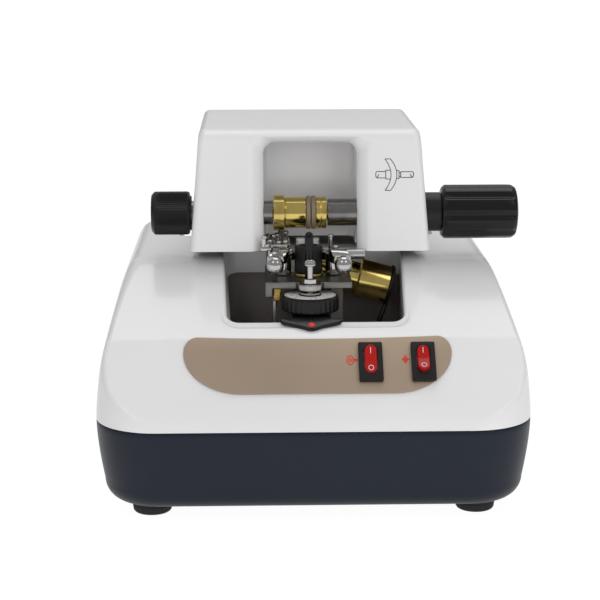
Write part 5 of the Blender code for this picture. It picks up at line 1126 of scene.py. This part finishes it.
def on_face(p):
    """x stays; the drawing's y runs up the leaning face from DRAWING_Z."""
    origin = (0, face_y(DRAWING_Z) - 0.03, DRAWING_Z)
    return in_place(p, origin, X, (0, tilt_s, tilt_c), (0, -tilt_c, tilt_s))


bow = np.linspace(-7.8, 7.8, 30)
front_curve = np.column_stack([43.1 - bow**2 * 0.052, bow])
back_curve = np.column_stack([40.2 - bow**2 * 0.05, bow])
drawing = [
    front_curve, back_curve, [front_curve[-1], back_curve[-1]], [front_curve[0], back_curve[0]],
    [(33.2, 1.6), (37.6, 1.6)], [(33.2, -1.6), (37.6, -1.6)],
    ellipse(33.2, 0, 0.6, 1.6, 90, 270, 14), [(37.6, 2.2), (37.6, -2.2)],
    [(37.6, 2.2), (39.9, 2.2)], [(37.6, -2.2), (39.9, -2.2)],
    [(42.9, 2.0), (44.2, 2.0)], [(42.9, -2.0), (44.2, -2.0)], [(44.2, 2.0), (44.2, -2.0)],
    [(45.0, 1.4), (50.8, 1.4)], [(45.0, -1.4), (50.8, -1.4)], [(45.0, 1.4), (45.0, -1.4)],
    [(44.2, 0.9), (45.0, 0.9)], [(44.2, -0.9), (45.0, -0.9)],
    ellipse(50.8, 0, 0.6, 1.4, -90, 90, 14), [(50.8, -1.4), (49.6, 0.2)],
    [(33.2, -1.6), (34.2, 0.2)],
]
cheek = ribbons("cheek_drawing", drawing, 0.36, on_face, 0.05)
finish_piece(cheek, mark_black, "head")

# %% [markdown]
# ## Chucks and knobs
# Everything on the lens line is turned: dark steel shafts, brass chucks faced with rubber
# pads, a finely ribbed knob on the left and a fluted one on the right. A wave added to the
# radius makes ribs and flutes, and it fades out at the chamfers.

# %% The lens line
def turned_part(name, centre, direction, profile, look, body, node=None, slot=None, **extra):
    """A turned piece with its finish, set in the place of its solid."""
    piece = turned(name, centre, direction, profile, **extra)
    return finish_piece(piece, look, body, node)


def lens_line(name, *rest, **extra):
    """A turned part about the lens line; the profile's first number is its x."""
    return turned_part(name, LINE, X, *rest, **extra)


lens_line("drive_shaft", [(-74.7, 0), (-74.7, 6), (-18.4, 6), (-18.4, 3), (-13.4, 3), (-13.4, 0)],
          steel_turned, "lens_drive", "spin_shaft", "steel")
left_chuck = [(-13.1, 0), (-13.1, 3.3), (-18.1, 3.3), (-18.1, 8.85), (-12.7, 8.85), (-12.5, 7.6),
              (-12.1, 7.6), (-11.9, 7.85), (-2.0, 7.85), (-2.0, 0)]
lens_line("chuck_left", left_chuck, brass_turned, "lens_drive", "left_chuck", "brass", turns=96)
PAD = 8.35
pads = (("left", -1.7, 0.4, "lens_drive"), ("right", 0.8, 2.9, "clamp_chuck"))
for side, start, end, body in pads:
    lens_line(f"pad_{side}", [(start, 0), (start, PAD), (end, PAD), (end, 0)], pad_rubber, body,
              f"{side}_pad", "pad_rubber", turns=96)
right_chuck = [(3.2, 0), (3.2, 8.1), (5.2, 8.1), (5.4, 7.9), (5.7, 7.9), (5.9, 8.1), (8.3, 8.1),
               (8.3, 3.5), (17.7, 3.5), (17.7, 0)]
lens_line("chuck_right", right_chuck, brass_turned, "clamp_chuck", "right_chuck", "brass", turns=96)
sleeve = [(19.5, 0), (19.5, 3.8), (9.1, 3.8), (9.1, 6.8), (40.1, 6.8), (40.1, 3.3), (21.5, 3.3),
          (21.5, 0)]
lens_line("sleeve", sleeve, steel_turned, "clamp_slider", "clamp_sleeve", "steel", turns=96)
lens_line("clamp_spindle", [(35.8, 0), (35.8, 3), (53.9, 3), (53.9, 4), (80.8, 4), (80.8, 0)],
          steel_turned, "clamp_turner", "clamp_screw", "steel")
lens_line("collar", [(53.6, 4.3), (53.6, 9.8), (65.8, 9.8), (65.8, 4.3)],
          black_satin, "head", "knob_collar", "black_plastic", closed=False)


def between(s, low, high, ease_low, ease_high):
    """1 between two stations, falling evenly to 0 at both ends."""
    return np.clip((s - low) / ease_low, 0, 1) * np.clip((high - s) / ease_high, 0, 1)


KNOB_END, KNOB = -79.2, 10.7


def fine_ribs(s, r, a):
    """60 ribs: 0.16 cos 60a, fading within about 1 mm of the knob's ends."""
    return 0.16 * np.cos(60 * a) * between(s, KNOB_END + 0.84, -60.2, 1.2, 1.0) * (r > 10)


left_knob = [(KNOB_END, 0), (KNOB_END, 9.1), (-77.6, KNOB), (-74.5, KNOB), (-69, KNOB), (-64, KNOB),
             (-61, KNOB), (-60, 10.2), (-60, 8.8), (-59.1, 8.6), (-59.1, 6.3), (-75, 6.3), (-75, 0)]
lens_line("knob_left", left_knob, black_gloss, "lens_drive", "left_knob", "black_knob",
          turns=360, wave=fine_ribs)


def flutes(s, r, a):
    """Eight wide flutes: -1.25 max(cos 8a, 0)^1.5, fading at the chamfers."""
    groove = np.clip(np.cos(8 * a), 0, 1)
    return -1.25 * groove**1.5 * between(s, 66.6, 103.4, 1.6, 2.2) * (r > 11)


GRIP = 13.5
right_knob = [(81.1, 0), (81.1, 4.3), (66.1, 4.3), (66.1, 11.9), (67.7, GRIP), (74, GRIP),
              (80, GRIP), (86, GRIP), (92, GRIP), (98, GRIP), (101.4, 13.4), (103.4, 12.2),
              (103.9, 10.4), (104.1, 9.6), (104.5, 7), (104.7, 0)]
lens_line("knob_right", right_knob, black_gloss, "clamp_turner", "clamp_knob", "black_knob",
          turns=256, edge=0.6, wave=flutes)
print("lens line made")

# %% [markdown]
# ## Guide plate, tower and dial
# The mechanism stands on a milled plate across the well. In front hangs the depth dial with
# its white scale; a screw, a nut and a collar hold it. Behind it stand a black pin and the
# black tower on a brass ring.

# %% Guide plate and what holds it
GUIDE_LOW, GUIDE_HIGH, SEAT = 102.9, 106.0, 106.3
Z = (0, 0, 1)
TOWER, DIAL = (-1.0, -37.5), (-0.8, -57.0)
left, front = -22.6, -55
outline = [(left, front), (-7.5, front), (-7.0, -54.4), (5.4, -54.4), (5.9, front), (19.8, front),
           (19.8, -31), (-9.8, -31), (-9.8, -10), (left, -10)]
guide = plate("guide", rounded(outline, 0.7, 4, closed=True), GUIDE_LOW, GUIDE_HIGH, 0.3)
tab = block("tab", (left, front, GUIDE_LOW - 4.2), (-18.9, -43, GUIDE_LOW + 1.5), 0.3)
collar_hole = drill("collar_hole", (*DIAL, 0), Z, 95, 110, 5.9, 48)
stem_hole = drill("stem_hole", (*TOWER, 0), Z, 95, 110, 3.3, 32)
carve(guide, tab, operation="UNION")
carve(guide, collar_hole, stem_hole)
finish_piece(guide, steel_milled, "base", "guide_plate")
support = block("bracket_wall", (-18.9, -50, 67.3), (-16.9, -14, 96.0), 0.4)
foot_flange = block("flange", (-17.5, -50, 67.3), (-8.9, -14, 69.3), 0.4)
carve(support, foot_flange, operation="UNION")
finish_piece(support, alu_milled, "base", "support_bracket")
brass = block("brass_bar", (-18.6, -53, 96.3), (-14.8, -24, 102.6), 0.35)
finish_piece(brass, brass_milled, "base", "brass_block")


# %% Dial, screw, nut and collar
def upright(name, x, y, *rest, **extra):
    """A turned part about a vertical line; the profile's first number is its height."""
    return turned_part(name, (x, y, 0), Z, *rest, **extra)


def dial_ribs(s, r, a):
    """32 broad ribs: -0.15 * 1.5 cos 32a, cut off at 0.15 and fading at the grip's edges."""
    rib = np.clip(np.cos(32 * a) * 1.5, -1, 1)
    return -0.15 * rib * between(s, 92.9, 100.3, 0.6, 0.6) * (r > 13)


DIAL_LOW, DIAL_TOP, DIAL_RADIUS = 92.6, 100.6, 13.85
grip = [(DIAL_LOW, 1.8), (DIAL_LOW, 12.6), (93.3, 13.8), (94.2, DIAL_RADIUS), (96.5, DIAL_RADIUS),
        (98.8, DIAL_RADIUS), (99.9, 13.8), (DIAL_TOP, 13.1), (DIAL_TOP, 12.8), (100.3, 12.7),
        (100.3, 5.5), (DIAL_TOP, 5.4), (DIAL_TOP, 1.8)]
upright("dial_grip", *DIAL, grip, black_gloss, "dial", "depth_dial", "black_plastic",
        turns=256, wave=dial_ribs, closed=False)
upright("dial_scale", *DIAL, [(100.28, 5.6), (100.28, 12.6), (100.42, 12.6), (100.42, 5.6)],
        scale_white, "dial", turns=96, edge=0.03, closed=False)
SCALE_TOP, SCALE_EDGE = 100.43, 12.4
SCALE_START, SCALE_STEP, TICKS = -75, 33, 5


def on_dial(angle):
    """Places small flat marks on the scale, upright at the given angle."""
    a = math.radians(angle)
    out = np.array([math.cos(a), math.sin(a), 0])
    side = np.array([-out[1], out[0], 0])
    return lambda p: in_place(p, (*DIAL, SCALE_TOP), -side, out, Z)


def written(name, text, size, place):
    """A font's outline as a flat mesh, centred, then put in place."""
    curve = bpy.data.curves.new(name, "FONT")
    curve.body, curve.size = text, size
    curve.align_x, curve.align_y = "CENTER", "CENTER"
    curve.extrude = 0.02
    helper = add_object(name, curve)
    view = bpy.context.evaluated_depsgraph_get()
    mesh = bpy.data.meshes.new_from_object(helper.evaluated_get(view))
    bpy.data.objects.remove(helper)
    points = np.zeros(len(mesh.vertices) * 3)
    mesh.vertices.foreach_get("co", points)
    points = (place(points.reshape(-1, 3)) - LEVEL) * MM
    mesh.vertices.foreach_set("co", points.ravel())
    mend(mesh, 1e-6)
    return add_object(name, mesh)


digits, ticks = [], []
for number in range(10):
    angle = SCALE_START + number * SCALE_STEP
    put = on_dial(angle)
    digits.append(written(f"digit_{number}", str(number), 2.6,
                          lambda p, put=put: put(p + [0, 9.0, 0])))
    for part in range(TICKS):
        put = on_dial(angle + part * SCALE_STEP / TICKS)
        line = [(0, SCALE_EDGE - (0.7 if part else 1.3)), (0, SCALE_EDGE)]
        ticks.append(ribbons(f"tick_{number}_{part}", [line], 0.16, put, 0.02))
scale = merged("dial_marks", digits + ticks)
finish_piece(scale, mark_black, "dial")
zero = ribbons("dial_zero", [[(0, 10.6), (0, 12.5)]], 0.5, on_dial(-90), 0.03)
finish_piece(zero, mark_red, "dial")


def cross_slot(head, x, y, top, reach, width=0.55, deep=1.0):
    """Cuts a cross recess in an upright screw whose top is at a height."""
    along, across, up = frame_of(Z)
    w = width / 2
    arm = np.array([(w, w), (w, reach), (-w, reach)])
    quarter = np.array([[0, -1], [1, 0]])
    outline = np.vstack([arm, arm @ quarter.T, arm @ quarter.T @ quarter.T, arm @ quarter])
    cutter = plate("cross", outline, -deep, 1.5, 0.02,
                   lambda p: in_place(p, (x, y, top), across, up, along))
    return carve(head, cutter, sharp=30)


BOLT_TOP = 118.0
bolt = [(93.5, 0), (93.5, 1.5), (114.5, 1.5), (114.5, 2.7), (115.3, 2.85), (116.6, 2.6),
        (117.6, 1.7), (BOLT_TOP, 0)]
screw = turned("dial_bolt", (*DIAL, 0), Z, bolt, 64, 0.35)
cross_slot(screw, *DIAL, BOLT_TOP, 1.7)
finish_piece(screw, chrome_plate, "dial", "dial_screw")


def hex_wave(flat):
    """Radius that turns a circle into a hexagon: flat / cos of the angle from a side's middle."""

    def wave(s, r, a):
        off = (a + np.pi / 6) % (np.pi / 3) - np.pi / 6
        return np.where(r > flat * 0.9, flat / np.cos(off) - r, 0)

    return wave


upright("lock_nut", *DIAL, [(106.1, 1.8), (106.1, 3.1), (107.1, 3.15), (108.1, 3.0), (108.1, 1.8)],
        chrome_plate, "dial", "dial_nut", "chrome", turns=96, edge=0.15, wave=hex_wave(2.75),
        closed=False, sharp=25)


def knurl(count, depth, low, high, least):
    """Fine ribs, depth * cos(count a), between two heights and outside a least radius."""

    def wave(s, r, a):
        return depth * np.cos(count * a) * between(s, low, high, 0.4, 0.4) * (r > least)

    return wave


collar = [(102.75, 1.8), (102.75, 5.2), (103.1, 5.5), (103.8, 5.5), (104.6, 5.5), (105.4, 5.5),
          (105.8, 5.2), (105.8, 1.8)]
upright("knurled_collar", *DIAL, collar, steel_bright, "base", "stud_collar", "steel",
        turns=240, wave=knurl(48, 0.09, 102.9, 105.6, 5), closed=False)

# %% Tower, ring and pin
tower = [(102.0, 0), (102.0, 3), (108.0, 3), (108.0, 6.9), (120.4, 6.9), (121.0, 6.3),
         (121.0, 4.6), (120.5, 4.3), (120.5, 0)]
upright("tower", *TOWER, tower, black_satin, "depth_stop", "depth_tower", "black_plastic", turns=96)
upright("tower_ring", *TOWER, [(SEAT, 3.3), (SEAT, 7.3), (107.7, 7.3), (107.7, 3.3)],
        brass_turned, "base", "depth_ring", "brass", turns=96, closed=False)
pin = [(SEAT, 0), (SEAT, 2.15), (116, 2.15), (127.2, 2.15), (128.6, 1.8), (129.4, 1.0), (129.6, 0)]
upright("pin", TOWER[0], -47.0, pin, black_gloss, "base", "stop_pin", "black_plastic", edge=0.6)
print("dial made")

# %% [markdown]
# ## Guide arms
# Two bright arms swing on screws. Each ends in a ball in front, to be pinched, and in a small
# roller behind, which steers the lens over the wheel. A sloping saddle sits on the front of
# each arm, and small bright screws crowd round them.


# %% Arms, balls and rollers
def pan_head(name, x, y, z, radius, height, body="base", shank=0.6):
    """A round-headed screw with a cross recess, its head's seat at (x, y, z)."""
    stem = radius * 0.72
    profile = [(-shank, 0), (-shank, stem), (0, stem), (0, radius), (height * 0.35, radius),
               (height * 0.75, radius * 0.8), (height, radius * 0.4), (height, 0)]
    head = turned(name, (x, y, z), Z, profile, 40, 0.2)
    cross_slot(head, x, y, z + height, radius * 0.62, radius * 0.26, height * 0.45)
    finish_piece(head, chrome_plate, body)


ARM_LOW, ARM_HIGH, ARM_FRONT, PIVOT_Y, WHEEL_X = 112.9, 116.9, -45.2, -35, -1


def arm_saddle(side, ball_x, pivot_x):
    """Wedge on the arm's front, side outline (y, z) carried across; its face rises to the back."""
    top = 118.4 if side == "left" else 119.4
    corners = [(ARM_FRONT, 113.4), (-38.5, 113.4), (-38.5, top), (-41.4, top), (ARM_FRONT, 114.9)]
    outline = rounded(corners, [0.5, 0.5, 0.5, 3.0, 1.4], 8, closed=True)
    rows = []
    edges = ((-4.25, 0.4), (-4.15, 0.12), (-3.85, 0), (3.85, 0), (4.15, 0.12), (4.25, 0.4))
    for across, inset in edges:
        y, z = grown(outline, -inset).T
        lean = (pivot_x - ball_x) * (y - ARM_FRONT) / 10.6
        rows.append(np.column_stack([ball_x + lean + across, y, z]))
    saddle = skin(f"saddle_{side}", np.stack(rows), sharp=35)
    if side == "left":
        middle = ball_x + 1.3
        recess = block("recess", (middle - 2.7, -43.6, 115.7), (middle + 2.7, -40.2, 120), 0.3)
        carve(saddle, recess, sharp=35)
    return saddle


def make_arm(side, sign):
    """A tapering bar on a hub, with its ball, saddle, pivot screw and roller; sign is -1 or 1."""
    ball_x, pivot_x, tip_x = (WHEEL_X + sign * reach for reach in (16.75, 12.4, 3.5))
    end_x = tip_x + sign * 1.15
    body = f"arm_{side}"
    outline = [
        (ball_x - 4.2, ARM_FRONT), (ball_x + 4.2, ARM_FRONT), (pivot_x + 4.2, -34.6),
        (tip_x + 3.4, -24.0), (end_x + 1.75, -19.0), (end_x - 1.75, -19.0),
        (tip_x - 3.4, -24.0), (pivot_x - 4.2, -34.6),
    ]
    arm = plate(f"arm_{side}_bar", rounded(outline, 1.2, 5, closed=True), ARM_LOW, ARM_HIGH, 0.45)
    hub_profile = [(SEAT, 0), (SEAT, 3.9), (114, 3.9), (114, 0)]
    hub = turned("hub", (pivot_x, PIVOT_Y, 0), Z, hub_profile, 48, 0.3)
    carve(arm, hub, operation="UNION", sharp=35)
    carve(arm, drill("bore", (pivot_x, PIVOT_Y, 0), Z, 100, 120, 1.8, 32), sharp=35)
    mend(arm.data, 5e-6, slits=True)
    flat_shading(arm)
    finish_piece(arm, chrome_plate, body, f"guide_arm_{side}")
    finish_piece(arm_saddle(side, ball_x, pivot_x), chrome_plate, body)

    radius, middle, top = 4.35, 113.8, 119.1
    dome = [(middle + radius * math.sin(a), radius * math.cos(a))
            for a in np.linspace(0.15, np.pi / 2, 12)]
    foot = [(109.7, 0), (109.7, 2.7), (110.3, 3.4), (111.2, 4.0), (112.4, 4.3), (middle, radius)]
    upright(f"ball_{side}", ball_x, -50, foot + dome,
            chrome_plate, body, f"ball_handle_{side}", "chrome", turns=72, edge=0.2)
    neck = [(0, 0), (0, 2.2), (2.6, 2.2), (2.6, 0)]
    turned_part(f"ball_neck_{side}", (ball_x, -47.0, 113.9), (0, 1, 0), neck,
                chrome_plate, body, turns=32, edge=0.2)
    screw = [(SEAT, 0), (SEAT, 1.5), (117.2, 1.5), (117.2, 2.9), (118.1, 2.9), (118.8, 2.3),
             (top, 1.2), (top, 0)]
    pivot = turned(f"pivot_{side}", (pivot_x, PIVOT_Y, 0), Z, screw, 56, 0.2)
    cross_slot(pivot, pivot_x, PIVOT_Y, top, 1.7, 0.55, 0.8)
    finish_piece(pivot, chrome_plate, "base", f"arm_pivot_{side}")
    roller = [(ARM_LOW, 0), (ARM_LOW, 1.2), (117.2, 1.2), (117.2, 2.4), (118.4, 2.4), (119.0, 2.25),
              (119.8, 2.25), (120.4, 2.4), (121.6, 2.4), (121.6, 0)]
    upright(f"roller_{side}", tip_x, -20, roller,
            nylon, f"roller_{side}", f"guide_roller_{side}", "nylon", turns=48, edge=0.2)


make_arm("left", -1)
make_arm("right", 1)

# %% Selector plate, stop rod and small screws
SELECTOR_LOW, SELECTOR_HIGH = 118.6, 120.4
corners = rounded([(-22.6, -31.5), (-10, -31.5), (-10, -12), (-22.6, -12)], 2.0, 5, closed=True)
selector = plate("selector", corners, SELECTOR_LOW, SELECTOR_HIGH, 0.35)
post_profile = [(SEAT, 0), (SEAT, 1.9), (119.5, 1.9), (119.5, 0)]
post = turned("post", (-20, -13.8, 0), Z, post_profile, 32, 0.2)
carve(selector, post, operation="UNION")
finish_piece(selector, chrome_plate, "base", "selector_plate")
# (x, y, height of the head over the plate or arm)
raised = ((-20.6, -15, 1.2), (-18.2, -21, 2.2), (-14.6, -15, 4.6), (-12.0, -17.5, 3.4),
          (-15.6, -27, 0.0), (-16.2, -18.5, 2.4), (-20.0, -26.6, 0.6), (-12.2, -27.6, 0.4),
          (-22.9, -37.6, 4.2), (-22.4, -33.6, 1.2), (-21.6, -38.0, 0.2))
on_arm = ((10.2, -29.6, 7.2), (12.4, -37.5, 3.2), (5.6, -25.6, 0.0))
ear = block("selector_ear", (-24.7, -39.8, 118.7), (-19.4, -30.6, 120.3), 0.35)
finish_piece(ear, chrome_plate, "base")
for number, (x, y, lift) in enumerate(raised):
    pan_head(f"selector_screw_{number}", x, y, SELECTOR_HIGH + lift, 1.75, 1.6, shank=0.6 + lift)
for number, (x, y, lift) in enumerate(on_arm):
    pan_head(f"arm_screw_{number}", x, y, ARM_HIGH + lift, 1.5, 1.3, "arm_right", shank=0.6 + lift)
pan_head("arm_screw_left_0", -9.6, -29.4, ARM_HIGH, 1.5, 1.3, "arm_left")
rod = [(17.3, 0), (17.3, 2.65), (26.6, 2.65), (27, 2.25), (27, 0)]
turned_part("stop_bar", (0, -36.4, 116.4), X, rod,
            rod_aluminium, "arm_right", "stop_rod", "aluminium", turns=56, edge=0.15)
print("arms made")

# %% [markdown]
# ## Grooving spindle
# The wheel's spindle lies under the lens, tilted down to the right by 14.5 degrees. Its
# housing is turned brass in three steps and closed by a dark cap. The wheel is a thin disc.

# %% Spindle
TILT = math.radians(14.5)
AXIS = (math.cos(TILT), 0, -math.sin(TILT))
WHEEL = (-3.3, CHUCK_Y, 108.3)


def spindle(name, *rest, **extra):
    """A turned part about the tilted axis; the profile counts from the wheel's middle."""
    return turned_part(name, WHEEL, AXIS, *rest, **extra)


housing = [(3.7, 2.8), (3.7, 5), (11.5, 5), (11.5, 7.75), (20, 7.75), (20.3, 7.45), (20.9, 7.45),
           (21.2, 7.75), (28.4, 7.75), (28.4, 9.5), (28.8, 9.9), (44.1, 9.9), (44.1, 2.8)]
spindle("housing", housing, brass_turned, "base", "spindle_housing", "brass",
        turns=120, closed=False)
spindle("housing_cap", [(44.4, 0), (44.4, 10.4), (45.5, 10.4), (46.0, 9.9), (46.0, 0)],
        black_satin, "base", "spindle_end_cap", "rubber", turns=96)
spindle("wheel", [(-0.3, 2.8), (-0.3, 8.2), (-0.06, 9.0), (0.06, 9.0), (0.3, 8.2), (0.3, 2.8)],
        wheel_steel, "grooving_spindle", "grooving_wheel", "steel",
        turns=160, edge=0.03, closed=False)
shaft = [(-3.2, 0), (-3.2, 3.4), (-2.9, 3.6), (-0.6, 3.6), (-0.6, 2.5), (0.6, 2.5), (0.6, 3.6),
         (3.4, 3.6), (3.4, 2.5), (42.6, 2.5), (42.6, 0)]
spindle("wheel_shaft", shaft, steel_turned, "grooving_spindle", "spindle_shaft", "steel")
lead_path = smooth_line([(38.6, -22, 91.5), (38.2, -24.5, 88.5), (36.6, -27, 84.5), (34.8, -28, 80),
                         (34.2, -26, 75), (36, -20, 70.5)], 40)
lead = tube("spindle_lead", lead_path, 1.25)
finish_piece(lead, black_satin, "base")
print("spindle made")

# %% [markdown]
# ## Solids that only need a finish
# The frame inside the head, hinge brackets, motor, belt pulleys and a few more keep their CAD
# shape, because they hardly show. Each gets the finish of what it is made of.

# %% Index plate, inlet and carried-over solids
LEAF_TIP, LEAF_GAP, LEAF_THICK = -81.5, 0.33, 1.6
leaf = [(14.7, 7.5), (14.7, 6.0), (13.2, 4.6), (8.8, 3.1), (4.4, 1.5), (1.8, 0.25), (0, 0)]
right_edge = smooth_line(leaf, 26)
leaf_line = np.vstack([right_edge, (right_edge[:-1] * [-1, 1])[::-1]])[::-1]
slope_c, slope_s = math.cos(CONSOLE_ANGLE), math.sin(CONSOLE_ANGLE)


def on_console(p):
    """The leaf's y runs up the console from its tip, its z stands out of the console."""
    p = np.asarray(p, float)
    y = LEAF_TIP + p[..., 1]
    z = PANEL_TOP[1] + (y - PANEL_TOP[0]) * CONSOLE + LEAF_GAP + p[..., 2] / slope_c
    return np.stack([p[..., 0] + DIAL[0], y, z], -1)


index_leaf = plate("index_leaf", leaf_line, 0.0, LEAF_THICK, 0.6, on_console, 1.2)
tongue = block("tongue", (-9.8, -74.6, 91.6), (8.2, -49, 92.3), 0.3)
carve(index_leaf, tongue, operation="UNION", sharp=40)
finish_piece(index_leaf, black_gloss, "base", "index_plate")
dot = [(0, 0), (0, 1.7), (0.35, 1.6), (0.75, 0.9), (0.9, 0)]
turned_part("index_dot", on_console([0, 2.6, 1.5]), (0, -slope_s, slope_c), dot, mark_red, "base",
            turns=40, edge=0.1)

carried = {
    "lift_arm": steel_bright, "hinge_bracket_left": steel_milled,
    "hinge_bracket_right": steel_milled, "hinge_pin": steel_bright, "head_frame": steel_milled,
    "lens_motor": steel_bright, "drive_belt": foot_rubber, "spin_pulley": rod_aluminium,
    "motor_pulley": rod_aluminium, "spindle_cradle": tray_plastic, "transformer": black_satin,
    "mains_inlet": black_satin,
}
for node, look in carried.items():
    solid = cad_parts[node]
    if not solid.material_slots:
        solid.data.materials.append(look)
    for slot in solid.material_slots:
        slot.material = look
print("carried over", len(carried))
